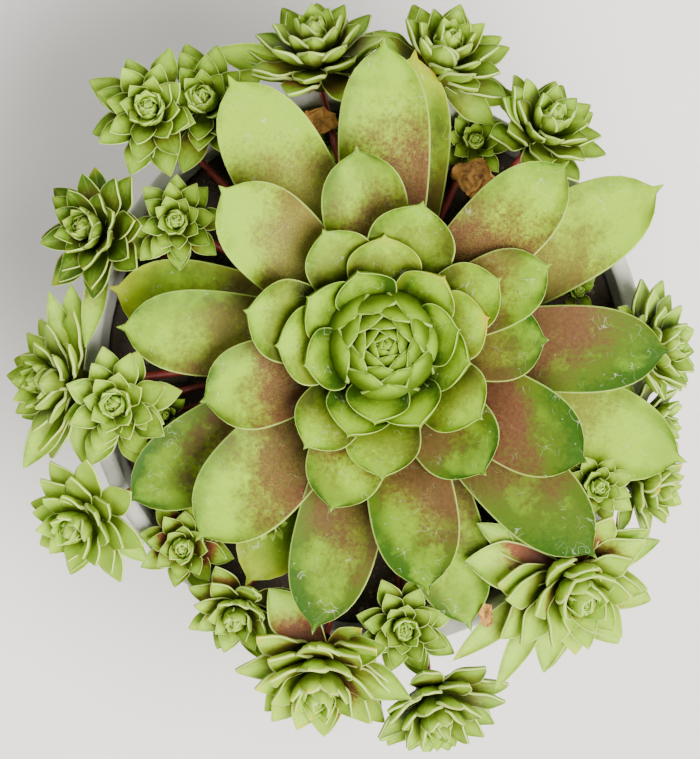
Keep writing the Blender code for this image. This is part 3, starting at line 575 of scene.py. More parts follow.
def leaf_flesh_group():
    """Flesh of a succulent leaf: greens, red flush, yellowing, pale margin and keel, dried water marks.

    Each point gives flesh (metres along and across, a number of its leaf's own), place (share of the length,
    side, 1 above or 0 below) and look (how red, how yellow, how light)."""
    group, given, result, plus, less, times, most, step, mix = new_group(
        "leaf_flesh", ("Bright", "Deep", "Back", "Flush", "Blush", "Orange", "Margin", "Yellow"),
        ("Flush reach", "Water marks", "Keel", "Margin start"))
    flesh, place, look = (put(group, "ShaderNodeAttribute", attribute_name=title).outputs["Vector"]
                          for title in ("flesh", "place", "look"))
    share, side, upper = put(group, "ShaderNodeSeparateXYZ", {0: place}).outputs
    flush, gold, tone = put(group, "ShaderNodeSeparateXYZ", {0: look}).outputs
    edge = calc(group, "ABSOLUTE", side)
    broad = noise_of(group, flesh, 110, 3.0)
    fine = noise_of(group, flesh, 900, 4.0, 0.0, 0.65)
    speck = noise_of(group, flesh, 2600, 2.0)
    mottled = plus(times(broad, 0.75), times(fine, 0.25))
    # Lightness: mottle and the leaf's tone, darker towards the edges and the very tip, with painted shade that
    # darkens the base and lightens the part towards the tip
    lit = plus(step(mottled, 0.34, 0.66, 0.28, 0.85), less(tone, 0.5))
    lit = less(lit, step(edge, 0.35, 0.93, 0.0, 0.42))
    lit = less(lit, step(share, 0.8, 1.0, 0.0, 0.22))
    lit = plus(lit, step(share, 0.2, 0.8, -0.3, 0.15), clamp=True)
    shade = mix(lit, given["Deep"], given["Bright"])
    lower = less(1.0, upper)
    shade = mix(times(lower, 0.45), shade, given["Back"])

    stray = times(less(broad, 0.5), 0.42)
    stray = plus(stray, times(less(fine, 0.5), 0.4))
    inward = less(less(given["Flush reach"], share), stray)
    inward = less(inward, times(calc(group, "POWER", edge, 3.0), 0.06))
    chance = put(group, "ShaderNodeSeparateXYZ", {0: flesh}).outputs[2]
    lopsided = times(less(chance, 0.5), times(side, 0.34))
    inward = plus(inward, lopsided)
    halo = times(step(inward, -0.25, -0.05, 0.0, 0.1), flush)
    shade = mix(halo, shade, given["Yellow"])
    red = times(step(inward, -0.1, 0.17), flush)
    red = times(red, step(speck, 0.3, 0.7, 0.72, 1.0))
    blotch = times(step(speck, 0.62, 0.7), step(inward, -0.3, 0.0))
    red = most(red, times(times(blotch, flush), 0.5))
    fading = plus(step(fine, 0.3, 0.7, 0.0, 0.45), step(share, 0.1, 0.6, 0.0, 0.55))
    blush = mix(fading, given["Flush"], given["Blush"])
    shade = mix(times(red, 0.95, clamp=True), shade, blush)
    # Painted shade: darker towards the base of each leaf, where the leaves above overlap it, and on the back of
    # its lower part, where the leaf outside it covers it
    shadow = step(share, 0.05, 0.6, 0.7, 0.0)
    covered_back_shade = times(step(share, 0.4, 0.92, 0.6, 0.0), lower)
    shadow = most(shadow, covered_back_shade)
    shade = mix(shadow, shade, mix(0.5, given["Flush"], given["Deep"]), "MULTIPLY")

    wilt = plus(step(share, 0.74, 1.0), step(edge, 0.65, 1.0, 0.0, 0.3))
    wilt = times(wilt, step(broad, 0.3, 0.7, 0.6, 1.2))
    wilt = times(wilt, gold, clamp=True)
    shade = mix(wilt, shade, given["Yellow"])
    shade = mix(step(wilt, 0.8, 1.0, 0.0, 0.7), shade, given["Orange"])

    rim_start = less(given["Margin start"], times(lower, 0.06))
    rim = step(edge, rim_start, plus(rim_start, 0.035))
    rim = most(rim, step(share, 0.975, 1.0, 0.0, 0.7))
    shade = mix(times(rim, 0.78), shade, given["Margin"])
    ridge = times(step(edge, 0.02, 0.16, 1.0, 0.0), given["Keel"])
    ridge = times(ridge, step(share, 0.25, 0.9))
    shade = mix(ridge, shade, given["Margin"])

    curl = calc(group, "ABSOLUTE", less(noise_of(group, flesh, 220, 0.0, 1.6), 0.5))
    trail = step(curl, 0.003, 0.014, 1.0, 0.0)
    patch = step(noise_of(group, flesh, 210, 0.0), 0.58, 0.63)
    marks = times(trail, patch)
    cell = put(group, "ShaderNodeTexVoronoi", {"Vector": flesh, "Scale": 420.0, "Randomness": 1.0})
    dots = step(cell.outputs["Distance"], 0.06, 0.12, 1.0, 0.0)
    marks = most(marks, times(dots, step(fine, 0.52, 0.6)))
    marks = times(times(marks, upper), given["Water marks"])
    marks = times(marks, less(1.0, times(red, 0.75)))
    group.links.new(mix(marks, shade, colour(0.52, 0.58, 0.38)), result["Colour"])
    rough = less(step(fine, 0.3, 0.7, 0.46, 0.62), times(marks, 0.12))
    group.links.new(rough, result["Roughness"])
    height = plus(times(broad, 1.4), times(fine, 0.45))
    height = plus(height, times(speck, 0.12))
    height = plus(height, times(marks, 0.25))
    group.links.new(height, result["Height"])
    return group


def weathering_group():
    """Dust, stains and grain of things that stand in the weather: the pot, the soil, dry leaves, runners."""
    group, given, result, plus, less, times, most, step, mix = new_group(
        "weathering", ("Ground", "Stain", "Fleck"),
        ("Grain scale", "Stain amount", "Fleck amount", "Mask", "Base roughness"), ("Stretch",))
    coordinates = put(group, "ShaderNodeTexCoord").outputs["Object"]
    stretched = put(group, "ShaderNodeVectorMath", {0: coordinates, 1: given["Stretch"]},
                    operation="MULTIPLY").outputs[0]
    cloud = noise_of(group, stretched, 55, 4.0, 0.6, 0.6)
    grain = put(group, "ShaderNodeTexNoise", {"Vector": stretched, "Scale": given["Grain scale"],
                                              "Detail": 4.0, "Roughness": 0.6}).outputs[0]
    stain = times(step(cloud, 0.42, 0.68), given["Stain amount"])
    stain = plus(stain, given["Mask"], clamp=True)
    stain = times(stain, step(grain, 0.3, 0.7, 0.55, 1.0))
    shade = mix(stain, given["Ground"], given["Stain"])
    cell = put(group, "ShaderNodeTexVoronoi", {"Vector": stretched, "Scale": given["Grain scale"]})
    fleck = times(step(cell.outputs["Distance"], 0.12, 0.3, 1.0, 0.0), step(grain, 0.48, 0.56))
    shade = mix(times(fleck, given["Fleck amount"]), shade, given["Fleck"])
    grainy = mix(grain, colour(0.55, 0.55, 0.55), colour(1.35, 1.35, 1.35))
    shade = mix(0.35, shade, grainy, "MULTIPLY")
    group.links.new(shade, result["Colour"])
    rough = plus(given["Base roughness"], step(grain, 0.3, 0.7, -0.08, 0.1))
    group.links.new(rough, result["Roughness"])
    height = plus(grain, times(cloud, 0.8))
    group.links.new(less(height, times(fleck, 0.3)), result["Height"])
    return group


def finish(name, group, values, bump_depth, bump_strength, **principled):
    """A material: its effect group feeds the colour, roughness and bump of one Principled shader."""
    material = bpy.data.materials.new(name)
    material.use_nodes = True
    tree = material.node_tree
    shader = tree.nodes["Principled BSDF"]
    effect = put(tree, "ShaderNodeGroup", node_tree=group)
    for title, value in values.items():
        socket = effect.inputs[title]
        socket.default_value = colour(*value) if socket.type == "RGBA" else value
    bump = put(tree, "ShaderNodeBump", {"Strength": bump_strength, "Distance": bump_depth,
                                        "Height": effect.outputs["Height"]})
    tree.links.new(effect.outputs["Colour"], shader.inputs["Base Color"])
    tree.links.new(effect.outputs["Roughness"], shader.inputs["Roughness"])
    tree.links.new(bump.outputs[0], shader.inputs["Normal"])
    for title, value in principled.items():
        shader.inputs[title.replace("_", " ")].default_value = value
    return material


def hen_leaf_finish(flesh):
    return finish("hen_leaf_flesh", flesh, {
        "Bright": (0.285, 0.505, 0.012), "Deep": (0.028, 0.085, 0.004),
        "Back": (0.165, 0.30, 0.014), "Flush": (0.045, 0.012, 0.009),
        "Blush": (0.155, 0.05, 0.028), "Orange": (0.60, 0.25, 0.002),
        "Margin": (0.42, 0.60, 0.11), "Yellow": (0.42, 0.50, 0.002),
        "Flush reach": 0.7, "Water marks": 0.42, "Keel": 0.0, "Margin start": 0.955},
        0.35 * MM, 0.45, Specular_IOR_Level=0.12, Subsurface_Weight=0.06, Subsurface_Scale=2 * MM)


def chick_leaf_finish(flesh):
    return finish("chick_leaf_flesh", flesh, {
        "Bright": (0.34, 0.57, 0.032), "Deep": (0.05, 0.12, 0.007),
        "Back": (0.25, 0.40, 0.035), "Flush": (0.09, 0.022, 0.012),
        "Blush": (0.25, 0.08, 0.033), "Orange": (0.62, 0.28, 0.005),
        "Margin": (0.54, 0.70, 0.18), "Yellow": (0.56, 0.54, 0.01),
        "Flush reach": 0.56, "Water marks": 0.18, "Keel": 0.16, "Margin start": 0.91},
        0.2 * MM, 0.4, Specular_IOR_Level=0.15, Subsurface_Weight=0.06, Subsurface_Scale=1.2 * MM)


def stoneware_finish(weathering):
    material = finish("weathered_stoneware", weathering, {
        "Ground": (0.60, 0.60, 0.55), "Stain": (0.24, 0.25, 0.17),
        "Fleck": (0.16, 0.14, 0.11), "Grain scale": 700.0, "Stain amount": 0.55,
        "Fleck amount": 0.35, "Stretch": (1.0, 1.0, 0.35), "Base roughness": 0.52},
        0.25 * MM, 0.35)
    tree = material.node_tree
    effect = next(item for item in tree.nodes if item.type == "GROUP")
    coordinates = put(tree, "ShaderNodeTexCoord").outputs["Object"]
    height = put(tree, "ShaderNodeSeparateXYZ", {0: coordinates}).outputs[2]
    foot = ramp(tree, height, 0.0, 28 * MM, 0.45, 0.0)
    collar = ramp(tree, height, POT_HEIGHT - 14 * MM, POT_HEIGHT - 6 * MM, 0.28, 0.0)
    tree.links.new(calc(tree, "ADD", foot, collar), effect.inputs["Mask"])
    return material


def soil_finish(weathering):
    return finish("dark_potting_soil", weathering, {
        "Ground": (0.055, 0.04, 0.026), "Stain": (0.018, 0.014, 0.01),
        "Fleck": (0.17, 0.13, 0.09), "Grain scale": 620.0, "Stain amount": 0.8,
        "Fleck amount": 0.6, "Stretch": (1, 1, 1), "Base roughness": 0.88}, 0.8 * MM, 0.8)


def grit_finish(weathering):
    return finish("pale_grit", weathering, {
        "Ground": (0.16, 0.12, 0.08), "Stain": (0.05, 0.035, 0.022),
        "Fleck": (0.4, 0.36, 0.3), "Grain scale": 900.0, "Stain amount": 0.9,
        "Fleck amount": 0.3, "Stretch": (1, 1, 1), "Base roughness": 0.8}, 0.4 * MM, 0.6)


def runner_finish(weathering):
    return finish("red_stolon", weathering, {
        "Ground": (0.26, 0.028, 0.02), "Stain": (0.10, 0.016, 0.012),
        "Fleck": (0.38, 0.16, 0.08), "Grain scale": 1100.0, "Stain amount": 0.7,
        "Fleck amount": 0.5, "Stretch": (1, 1, 1), "Base roughness": 0.45}, 0.2 * MM, 0.5)


def dry_leaf_finish(weathering):
    # Its dark stain blotches are partly real stains, partly painted shade of its crumples
    return finish("dry_leaf_skin", weathering, {
        "Ground": (0.60, 0.31, 0.07), "Stain": (0.12, 0.05, 0.014),
        "Fleck": (0.78, 0.52, 0.22), "Grain scale": 180.0, "Stain amount": 1.0,
        "Fleck amount": 0.5, "Stretch": (6.0, 6.0, 6.0), "Base roughness": 0.75}, 0.6 * MM, 0.9)


# Hen


def hen_leaves():
    """Every leaf of the hen with its look and hidden share, from the lowest to the innermost."""
    leaves = []
    for level, layer in enumerate(HEN_LAYERS):
        rise = math.radians(layer.rise)
        curl = math.radians(layer.curl)
        stretch = curl / (math.sin(rise + curl) - math.sin(rise))
        inner = level >= INNER_LEVEL
        lift, draw_in = INNER_STEP if inner else (HEN_ROOT_STEP, 0.0)
        for order, (azimuth, reach, half_width) in enumerate(layer.leaves):
            root_radius = layer.root_radius * MM - order * draw_in
            leaf = Leaf(
                azimuth=math.radians(azimuth), root_radius=root_radius,
                root_height=layer.root_height * MM + order * lift,
                length=(reach * MM - root_radius) * stretch, half_width=half_width * MM,
                thickness=layer.thickness * MM, curl=curl, cup=layer.cup, sharp=False,
                rise=rise + math.radians(LIFTED_LEAVES.get((level, azimuth), 0.0)))
            gold = GOLDEN_LEAVES.get((level, azimuth), 0.0)
            tone = LEAF_TONES_AND_PAINTED_LIGHT.get((level, azimuth), layer.tone)
            leaves.append((leaf, (layer.flush, gold, tone), INNER_HIDDEN if inner else 0.0))
    return leaves


def bud_leaves(bud, scale, first=0):
    """The incurved leaves of a closed bud, from the outermost, with its lengths times scale."""
    leaves = []
    for order in range(bud.leaves):
        share = order / (bud.leaves - 1)
        leaves.append(Leaf(
            azimuth=math.radians((first + order) * GOLDEN_ANGLE),
            root_radius=scale * lerp(*bud.root_radius, share),
            root_height=scale * lerp(*bud.root_height, share ** bud.crowding),
            length=scale * lerp(*bud.length, share), half_width=scale * lerp(*bud.half_width, share),
            thickness=scale * lerp(*bud.thickness, share), rise=math.radians(lerp(*bud.rise, share)),
            curl=math.radians(lerp(*bud.curl, share)), cup=lerp(*bud.cup, share), sharp=True))
    return leaves


def build_hen(material):
    """The mother rosette on its stem, with its closed bud."""
    place = Matrix.Translation((HEN_X, HEN_Y, CROWN_HEIGHT))
    skin = Skin()
    profile = ((STEM_RADIUS, STEM_FOOT - CROWN_HEIGHT), *HEN_CORE)
    skin.add(*turned(profile, CORE_SIDES, place), look=CORE_LOOK)
    for order, (leaf, (flush, gold, tone), hidden) in enumerate(hen_leaves()):
        draw = random.Random(f"hen leaf {order}")
        flush = flush * draw.uniform(*FLUSH_SPREAD)
        tone = tone + draw.uniform(-TONE_SPREAD, TONE_SPREAD)
        add_leaf(skin, leaf, place, (flush, gold, tone), HEN_MESH, draw, HEN_WAVE, hidden)
    for order, leaf in enumerate(bud_leaves(HEN_BUD, MM)):
        draw = random.Random(f"bud leaf {order}")
        tone = lerp(*BUD_TONE, order / (HEN_BUD.leaves - 1))
        add_leaf(skin, leaf, place, (0.0, 0.0, tone), BUD_MESH, draw, BUD_WAVE, BUD_HIDDEN)
    return skin.build("hen_rosette", material, "hen_leaf", "hen")


# Chicks


def chick_place(chick):
    """Matrix that puts a chick's own frame, with its foot at the origin and its axis up, in the pot."""
    lean = Matrix.Rotation(math.radians(chick.lean), 4, "Z")
    tilt = Matrix.Rotation(math.radians(chick.tilt), 4, "Y")
    turn = Matrix.Rotation(math.radians(chick.turn), 4, "Z")
    attitude = lean @ tilt @ turn
    bud = Vector((HEN_X + chick.x * MM, HEN_Y + chick.y * MM, chick.z * MM))
    foot = bud - attitude @ Vector((0, 0, BUD_RATIO * chick.reach * MM))
    return Matrix.Translation(foot) @ attitude


def chick_leaf(chick, order, bend=(0, 1.0)):
    """One leaf of a chick; the outer ones are long and low, the inner ones short and upright."""
    reach = chick.reach * MM
    share = order / (chick.leaves - 1)
    draw = random.Random(chick.name + str(order))
    stray_rise, stray_azimuth, stray_length = CHICK_STRAY
    steeper, shorter = share ** CHICK_CROWDING[0], share ** CHICK_CROWDING[1]
    rise = lerp(*CHICK_RISE, steeper) + draw.uniform(-stray_rise, stray_rise) + bend[0]
    length = lerp(*CHICK_LENGTH, shorter) * draw.uniform(1 - stray_length, 1 + stray_length) * bend[1]
    azimuth = order * GOLDEN_ANGLE + draw.uniform(-stray_azimuth, stray_azimuth)
    return Leaf(
        azimuth=math.radians(azimuth), root_radius=reach * lerp(*CHICK_ROOT_RADIUS, share),
        root_height=reach * lerp(*CHICK_ROOT_HEIGHT, share), length=reach * length,
        half_width=reach * lerp(*CHICK_HALF_WIDTH, share),
        thickness=max(THINNEST_BLADE, reach * lerp(*CHICK_THICKNESS, share)),
        rise=math.radians(rise), curl=math.radians(lerp(*CHICK_CURL, share)),
        cup=lerp(*CHICK_CUP, share), sharp=True)


def solid_leaves(chick, place):
    """The leaves that the chick's solid has, as bent there: their tips are among its corners."""
    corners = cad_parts[chick.name].data.vertices
    finder = KDTree(len(corners))
    for corner in corners:
        finder.insert(corner.co, corner.index)
    finder.balance()
    leaves = []
    for order in range(chick.leaves):
        for bend in BENDS:
            leaf = chick_leaf(chick, order, bend)
            if finder.find(leaf_tip(leaf, place))[2] < TIP_MATCH:
                leaves.append((order, leaf))
                break
    return leaves


def first_clear(forms, place, neighbours):
    """The first form of a leaf that is clear of the neighbours, or None. Later chicks clear it too."""
    for leaf in forms:
        tree = guard_tree(leaf, place)
        if not any(tree.overlap(neighbour) for neighbour in neighbours):
            neighbours_of_others.append(tree)
            return leaf
    return None


def filling_leaves(chick, place, neighbours):
    """Leaves between those of the solid: two in each gap, or one in the small chicks."""
    leaves = []
    steps = 3 if chick.reach > BIG_CHICK_REACH else 2
    for step in range(1, steps * (chick.leaves - 1)):
        if step % steps:
            bent = (chick_leaf(chick, step / steps, bend) for bend in BENDS)
            forms = (leaf._replace(length=FILLING_LENGTH * leaf.length) for leaf in bent)
            leaves.append((step / steps, first_clear(forms, place, neighbours)))
    return [(order, leaf) for order, leaf in leaves if leaf]


def long_leaves(chick, foot, neighbours):
    """The leaves that reach far past a chick's rosette, with their looks."""
    leaves = []
    for tip_x, tip_y, half_width, root_height, rise, redness, gold in LONG_LEAVES.get(chick.name, ()):
        span = Vector((HEN_X + tip_x * MM - foot.x, HEN_Y + tip_y * MM - foot.y))
        forms = [Leaf(
            azimuth=math.atan2(span.y, span.x), root_radius=LONG_ROOT, root_height=root_height * MM,
            length=cut * span.length - LONG_ROOT, half_width=half_width * MM, thickness=LONG_THICKNESS,
            rise=math.radians(rise + bend), curl=math.radians(LONG_CURL), cup=LONG_CUP, sharp=True)
            for bend, cut in BENDS]
        leaf = first_clear(forms, Matrix.Translation(foot), neighbours)
        if leaf:
            leaves.append((leaf, (redness, gold, LONG_TONE)))
    return leaves


def build_chick(chick, material, neighbours):
    """A small rosette: the leaves of its solid and those between them, its longest leaves and its bud."""
    place = chick_place(chick)
    reach = chick.reach * MM
    skin = Skin()
    profile = [(radius * reach, height * reach) for radius, height in CHICK_CORE]
    skin.add(*turned(profile, CHICK_CORE_SIDES, place), look=CHICK_CORE_LOOK)
    redness, yellowing, tone = CHICK_LOOKS_AND_PAINTED_LIGHT.get(chick.name, COMMON_CHICK_LOOK)
    leaves = solid_leaves(chick, place) + filling_leaves(chick, place, neighbours)
    for order, leaf in sorted(leaves, key=lambda pair: pair[0]):
        leaf = leaf._replace(half_width=CHICK_SLIM * leaf.half_width)
        draw = random.Random(f"{chick.name} leaf {order:.2f}")
        share = order / (chick.leaves - 1)
        flush = redness * draw.choice(CHICK_FLUSHES) * lerp(*CHICK_FLUSH_FADE, share)
        gold = yellowing * draw.choice(CHICK_GOLDS)
        stray = draw.uniform(-CHICK_TONE_SPREAD, CHICK_TONE_SPREAD)
        look = (flush, gold, tone + stray + lerp(*CHICK_TONE_RISE, share))
        add_leaf(skin, leaf, place, look, CHICK_MESH, draw, CHICK_WAVE * reach, lerp(*CHICK_HIDDEN, share))
    foot = place.translation
    for order, (leaf, look) in enumerate(long_leaves(chick, foot, neighbours)):
        draw = random.Random(f"{chick.name} long {order}")
        add_leaf(skin, leaf, Matrix.Translation(foot), look, LONG_MESH, draw, LONG_WAVE)
    look = (0.0, 0.0, tone + CHICK_BUD_LIGHTER)
    for order, leaf in enumerate(bud_leaves(CHICK_BUD, reach, chick.leaves)):
        draw = random.Random(f"{chick.name} bud {order}")
        add_leaf(skin, leaf, place, look, CHICK_BUD_MESH, draw, 0.0, CHICK_HIDDEN[1])
    return skin.build(chick.name + "_rosette", material, "chick_leaf", chick.name)


# Runners


def tube(points, radii, sides):
    """Points and faces of a round tube along points, closed by flat ends."""
    rings = []
    reference = Vector((0, 0, 1))
    for order, point in enumerate(points):
        before = points[max(order - 1, 0)]
        after = points[min(order + 1, len(points) - 1)]
        along = (after - before).normalized()
        across = along.cross(reference)
        if across.length < NEARLY_UPRIGHT:
            across = along.cross(Vector((1, 0, 0)))
        across.normalize()
        if rings and across.dot(last_across) < 0:
            across.negate()
        last_across = across
        up = across.cross(along)
        for step in range(sides):
            angle = 2 * math.pi * step / sides
            rings.append(point + (across * math.cos(angle) + up * math.sin(angle)) * radii[order])
    faces = [tuple(range(sides))]
    faces += [(a, d, c, b) for a, b, c, d in ring_faces(len(points), sides)]
    faces.append(tuple(reversed(range(len(rings) - sides, len(rings)))))
    return rings, faces


def runner_radius(chick):
    return SMALL_RUNNER_RADIUS if chick.reach < SMALL_CHICK_REACH else RUNNER_RADIUS


def runner_route(chick, source, sag, swing, arrival, steps):
    """Points of a smooth curve from the hen's stem to a chick's foot."""
    place = chick_place(chick)
    axis = (place.to_3x3() @ Vector((0, 0, 1))).normalized()
    stub_end = place @ Vector((0, 0, -STUB_RATIO * chick.reach * MM))
    distance, level = source
    out = Vector((stub_end.x - HEN_X, stub_end.y - HEN_Y, 0)).normalized()
    across = Vector((-out.y, out.x, 0))
    heading = (out + Vector((0, 0, arrival))).normalized() if arrival < 1 else axis
    foot = stub_end - axis * (GUARD_MARGIN + runner_radius(chick) * heading.cross(axis).length)
    start = Vector((HEN_X, HEN_Y, level)) + out * distance
    span = (foot - start).length
    first = start + out * RUNNER_HANDLES[0] * span + across * swing * MM + Vector((0, 0, sag * MM))
    last = foot - heading * RUNNER_HANDLES[1] * span + across * RUNNER_LATE_SWING * swing * MM
    points = []
    for step in range(steps + 1):
        t = step / steps
        points.append(start * (1 - t) ** 3 + first * 3 * t * (1 - t) ** 2
                      + last * 3 * t * t * (1 - t) + foot * t ** 3)
    return points


def solid_way(chick, source):
    """The sag, swing and arrival of the runner's solid, known by the box that they give."""
    low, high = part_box(chick.name.replace("chick", "runner"))
    radii = [runner_radius(chick)] * (RUNNER_COARSE_STEPS + 1)
    best = None
    for swing, arrival, sag in product(RUNNER_SWINGS, RUNNER_ARRIVALS, RUNNER_SAGS):
        route = runner_route(chick, source, sag, swing, arrival, RUNNER_COARSE_STEPS)
        points = np.array(tube(route, radii, RUNNER_COARSE_SIDES)[0])
        miss = np.abs(points.min(0) - low).max() + np.abs(points.max(0) - high).max()
        if best is None or miss < best[0]:
            best = (miss, sag, swing, arrival)
    return best[1:]


def build_runner(chick, source, material):
    """A stolon with faint joints and a slight taper."""
    name = chick.name.replace("chick", "runner")
    route = runner_route(chick, source, *solid_way(chick, source), RUNNER_STEPS)
    radius = runner_radius(chick)
    draw = random.Random(name)
    joints = [draw.uniform(*JOINT_SPREAD) for _ in range(RUNNER_JOINTS)]
    full, thinning = RUNNER_TAPER
    wobble, waves = RUNNER_WOBBLE
    radii = []
    for step in range(RUNNER_STEPS + 1):
        share = step / RUNNER_STEPS
        swell = sum(math.exp(-((share - joint) / JOINT_LENGTH) ** 2) for joint in joints)
        size = full - thinning * share + JOINT_SWELL * swell + wobble * math.sin(waves * share)
        radii.append(radius * size)
    skin = Skin()
    points, faces = tube(route, radii, RUNNER_SIDES)
    skin.add([tuple(point) for point in points], faces)
    return skin.build(name + "_stolon", material, "runner", name)


# Dry leaves


def dry_leaf(dry):
    return Leaf(azimuth=0.0, root_radius=0.0, root_height=0.0, length=dry.length * MM,
                half_width=dry.half_width * MM, thickness=DRY_THICKNESS,
                rise=math.radians(-0.5 * dry.curl), curl=math.radians(dry.curl), cup=dry.cup, sharp=True)


def build_dry_leaf(dry, material):
    """A crumpled leaf in the place of its solid, whose lowest corner gives its height."""
    leaf = dry_leaf(dry)
    place = Matrix.Translation((HEN_X + dry.x * MM, HEN_Y + dry.y * MM, 0))
    place = place @ Matrix.Rotation(math.radians(dry.azimuth), 4, "Z")
    share = np.array(DRY_STATIONS)[:, None]
    side = np.array(DRY_COLUMNS)
    depth = half_depth(leaf, share, side)
    corners = [leaf_points(leaf, share, side, face * depth) for face in (UPPER_FULLNESS, -LOWER_FULLNESS)]
    lowest = placed(np.array(corners), place)[..., 2].min()
    place = Matrix.Translation((0, 0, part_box(dry.name)[0].z - lowest)) @ place
    skin = Skin()
    add_leaf(skin, leaf, place, (0, 0, 0.5), DRY_MESH, random.Random(dry.name))
    points = skin.points[0]
    for index, point in enumerate(points):
        at = Vector(point)
        crease = DRY_CREASE_LEVEL - abs(noise.noise(at / DRY_CREASE_PITCH))
        push = DRY_CREASE * crease + DRY_PUCKER * noise.noise(at / DRY_PUCKER_PITCH)
        points[index] = at + DRY_PUSH * push
    return skin.build(dry.name + "_curl", material, "dry_leaf", dry.name)


# Pot and soil


def wall_radius(height):
    return lerp(POT_BASE_RADIUS, POT_RIM_RADIUS, height / POT_HEIGHT)


def arc(centre_radius, centre_height, radius, start, end):
    """Points of (radius, height) along a rounding, with its angles in degrees."""
    angles = np.radians(np.linspace(start, end, POT_ROUNDING_STEPS + 1))
    return [(centre_radius + radius * math.cos(a), centre_height + radius * math.sin(a)) for a in angles]


def build_pot(material):
    """The tapered pot with rounded foot and rim, its drain holes cut through the floor."""
    rim_height = POT_HEIGHT - POT_RIM_ROUNDING
    profile = arc(POT_BASE_RADIUS - POT_BASE_ROUNDING, POT_BASE_ROUNDING, POT_BASE_ROUNDING, -90, 0)
    profile += [(wall_radius(height * MM), height * MM) for height in POT_WALL_LEVELS]
    profile += arc(POT_RIM_RADIUS - POT_RIM_ROUNDING, rim_height, POT_RIM_ROUNDING, 0, 90)
    profile += arc(POT_RIM_RADIUS - POT_WALL + POT_RIM_ROUNDING, rim_height, POT_RIM_ROUNDING, 90, 180)
    profile.append((wall_radius(POT_FLOOR) - POT_WALL, POT_FLOOR))
    skin = Skin()
    skin.add(*turned(profile, POT_SIDES))
    pot = skin.build("stoneware_pot", material, "pale_stoneware", "pot")
    for hole in range(DRAIN_HOLES):
        angle = 2 * math.pi * hole / DRAIN_HOLES + 0.5 * math.pi
        place = Matrix.Translation((DRAIN_CIRCLE * math.cos(angle), DRAIN_CIRCLE * math.sin(angle), 0))
        mesh = bpy.data.meshes.new("drain_cutter")
        ends = ((DRAIN_RADIUS, -POT_FLOOR), (DRAIN_RADIUS, 2 * POT_FLOOR))
        points, faces = turned(ends, DRAIN_SIDES, place)
        mesh.from_pydata(points.tolist(), [], faces)
        cutter = in_scene("drain_cutter", mesh)
        cut = pot.modifiers.new("drain", "BOOLEAN")
        cut.object = cutter
        cut.operation = "DIFFERENCE"
        cut.solver = "EXACT"
        depsgraph = bpy.context.evaluated_depsgraph_get()
        pot.data = bpy.data.meshes.new_from_object(pot.evaluated_get(depsgraph))
        pot.modifiers.clear()
        bpy.data.objects.remove(cutter, do_unlink=True)
    pot.data.shade_smooth()
    pot.data.set_sharp_from_angle(angle=math.radians(POT_EDGE_ANGLE))
    return pot


def soil_height(x, y, share):
    """Height of the soil: its dome, the lumps of its solid and finer crumbs."""
    at = Vector((x, y, SOIL_EDGE_HEIGHT + SOIL_DOME * (1 - share * share)))
    crumbs = noise.noise(at / SOIL_CRUMB_PITCH) + 0.5 * noise.noise(at / (0.4 * SOIL_CRUMB_PITCH))
    return at.z + SOIL_LUMP * noise.noise(at / SOIL_LUMP_PITCH) + SOIL_CRUMB * crumbs


def build_soil(material, grit_material):
    """The soil with its crumbly top, and the grit that lies on it."""
    inner_top = wall_radius(SOIL_EDGE_HEIGHT) - POT_WALL - GAP
    inner_foot = wall_radius(POT_FLOOR + GAP) - POT_WALL - GAP
    profile = [(inner_foot, POT_FLOOR + GAP), (inner_top, SOIL_EDGE_HEIGHT)]
    profile += [(inner_top * (1 - ring / SOIL_RINGS), SOIL_EDGE_HEIGHT) for ring in range(1, SOIL_RINGS)]
    points, faces = turned(profile, SOIL_SIDES)
    for index in range(2 * SOIL_SIDES, len(points)):
        x, y = points[index][:2]
        points[index][2] = soil_height(x, y, math.hypot(x, y) / inner_top)
    skin = Skin()
    skin.add(points, faces)
    soil = skin.build("crumbly_soil", material, "potting_soil", "soil")
    grit = Skin()
    draw = random.Random("grit")
    for _ in range(GRIT_BITS):
        distance = inner_top * math.sqrt(draw.uniform(*GRIT_SPREAD))
        angle = draw.uniform(0, 2 * math.pi)
        x, y = distance * math.cos(angle), distance * math.sin(angle)
        size = lerp(*GRIT_SIZE, draw.random() ** 2)
        bit = [(radius * size, height * size) for radius, height in GRIT_OUTLINE]
        turn = Matrix.Rotation(draw.uniform(-0.5, 0.5), 4, "X") @ Matrix.Rotation(draw.uniform(0, 3), 4, "Z")
        squash = Matrix.Diagonal((1.0, draw.uniform(*GRIT_SQUASH), draw.uniform(*GRIT_SQUASH), 1.0))
        place = Matrix.Translation((x, y, soil_height(x, y, distance / inner_top))) @ turn @ squash
        grit.add(*turned(bit, GRIT_SIDES, place))
    bits = grit.build("soil_grit", grit_material, "potting_soil", "soil")
    bits.data.set_sharp_from_angle(angle=math.radians(GRIT_EDGE_ANGLE))
    return soil


# Studio


def build_floor():
    material = bpy.data.materials.new("pale_floor")
    material.use_nodes = True
    shader = material.node_tree.nodes["Principled BSDF"]
    shader.inputs["Base Color"].default_value = colour(0.85, 0.84, 0.82)
    shader.inputs["Roughness"].default_value = 0.8
    mesh = bpy.data.meshes.new("studio_floor")
    corners = [(FLOOR_HALF * x, FLOOR_HALF * y, 0) for x, y in ((-1, -1), (1, -1), (1, 1), (-1, 1))]
    mesh.from_pydata(corners, [], [(0, 1, 2, 3)])
    mesh.materials.append(material)
    floor = in_scene("studio_floor", mesh)


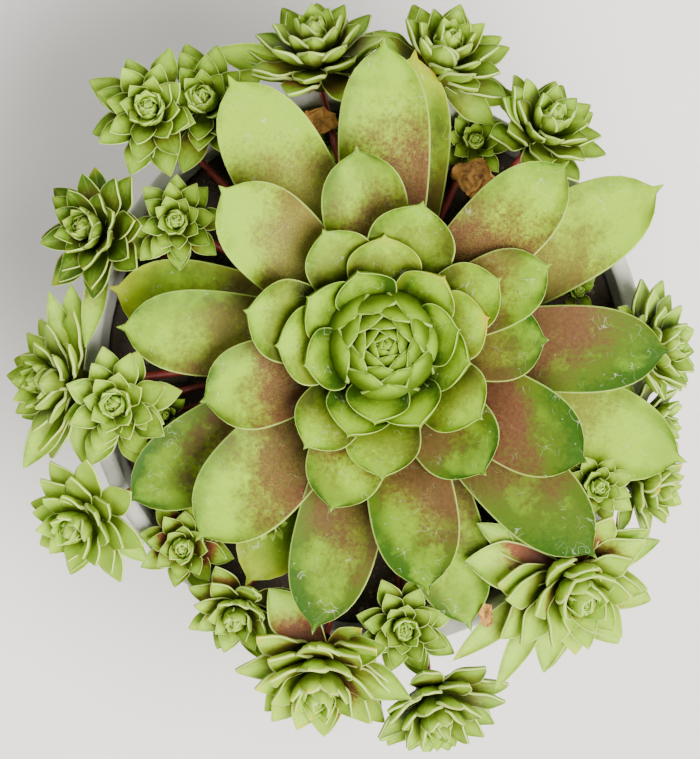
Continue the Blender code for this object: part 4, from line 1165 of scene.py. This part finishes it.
def build_light(name, position, size, watts, shade):
    """A square softbox that faces the rosette."""
    data = bpy.data.lights.new(name, "AREA")
    data.shape = "SQUARE"
    data.size = size
    data.energy = watts
    data.color = shade
    lamp = in_scene(name, data)
    lamp.location = position
    lamp.rotation_euler = (VIEW_CENTRE - Vector(position)).to_track_quat("-Z", "Y").to_euler()


def build_studio():
    """Floor, softboxes, soft air light and the camera straight above."""
    build_floor()
    for light in STUDIO_LIGHTS:
        build_light(*light)
    world = bpy.data.worlds.new("studio_air")
    world.use_nodes = True
    background = world.node_tree.nodes["Background"]
    background.inputs["Color"].default_value = AIR_COLOUR
    background.inputs["Strength"].default_value = AIR_STRENGTH
    bpy.context.scene.world = world
    data = bpy.data.cameras.new("camera")
    data.sensor_width = SENSOR
    data.lens = SENSOR * CAMERA_RISE / (IMAGE_HEIGHT * PIXEL)
    data.clip_start = 0.1
    camera = in_scene("camera", data)
    camera.location = VIEW_CENTRE + Vector((0, 0, CAMERA_RISE))
    bpy.context.scene.camera = camera


# The whole plant

build_studio()
leaf_flesh = leaf_flesh_group()
weathering = weathering_group()
hen_green = hen_leaf_finish(leaf_flesh)
chick_green = chick_leaf_finish(leaf_flesh)

trees = {name: BVHTree.FromPolygons([corner.co for corner in node.data.vertices],
                                    [tuple(face.vertices) for face in node.data.polygons])
         for name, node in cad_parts.items()}
neighbours_of_others = []
build_hen(hen_green)
for chick in CHICKS:
    around = [tree for name, tree in trees.items() if name != chick.name]
    build_chick(chick, chick_green, around + list(neighbours_of_others))

stolon_red = runner_finish(weathering)
by_azimuth = sorted(CHICKS, key=lambda chick: math.atan2(chick.y, chick.x))
sources = {chick.name: (STEM_RADIUS + GAP, RUNNER_LEVELS[order % len(RUNNER_LEVELS)])
           for order, chick in enumerate(by_azimuth)}
sources.update(LEAF_AXIL_RUNNERS)
for chick in CHICKS:
    build_runner(chick, sources[chick.name], stolon_red)

dry_brown = dry_leaf_finish(weathering)
for dry in DRY_LEAVES:
    build_dry_leaf(dry, dry_brown)

build_pot(stoneware_finish(weathering))
build_soil(soil_finish(weathering), grit_finish(weathering))
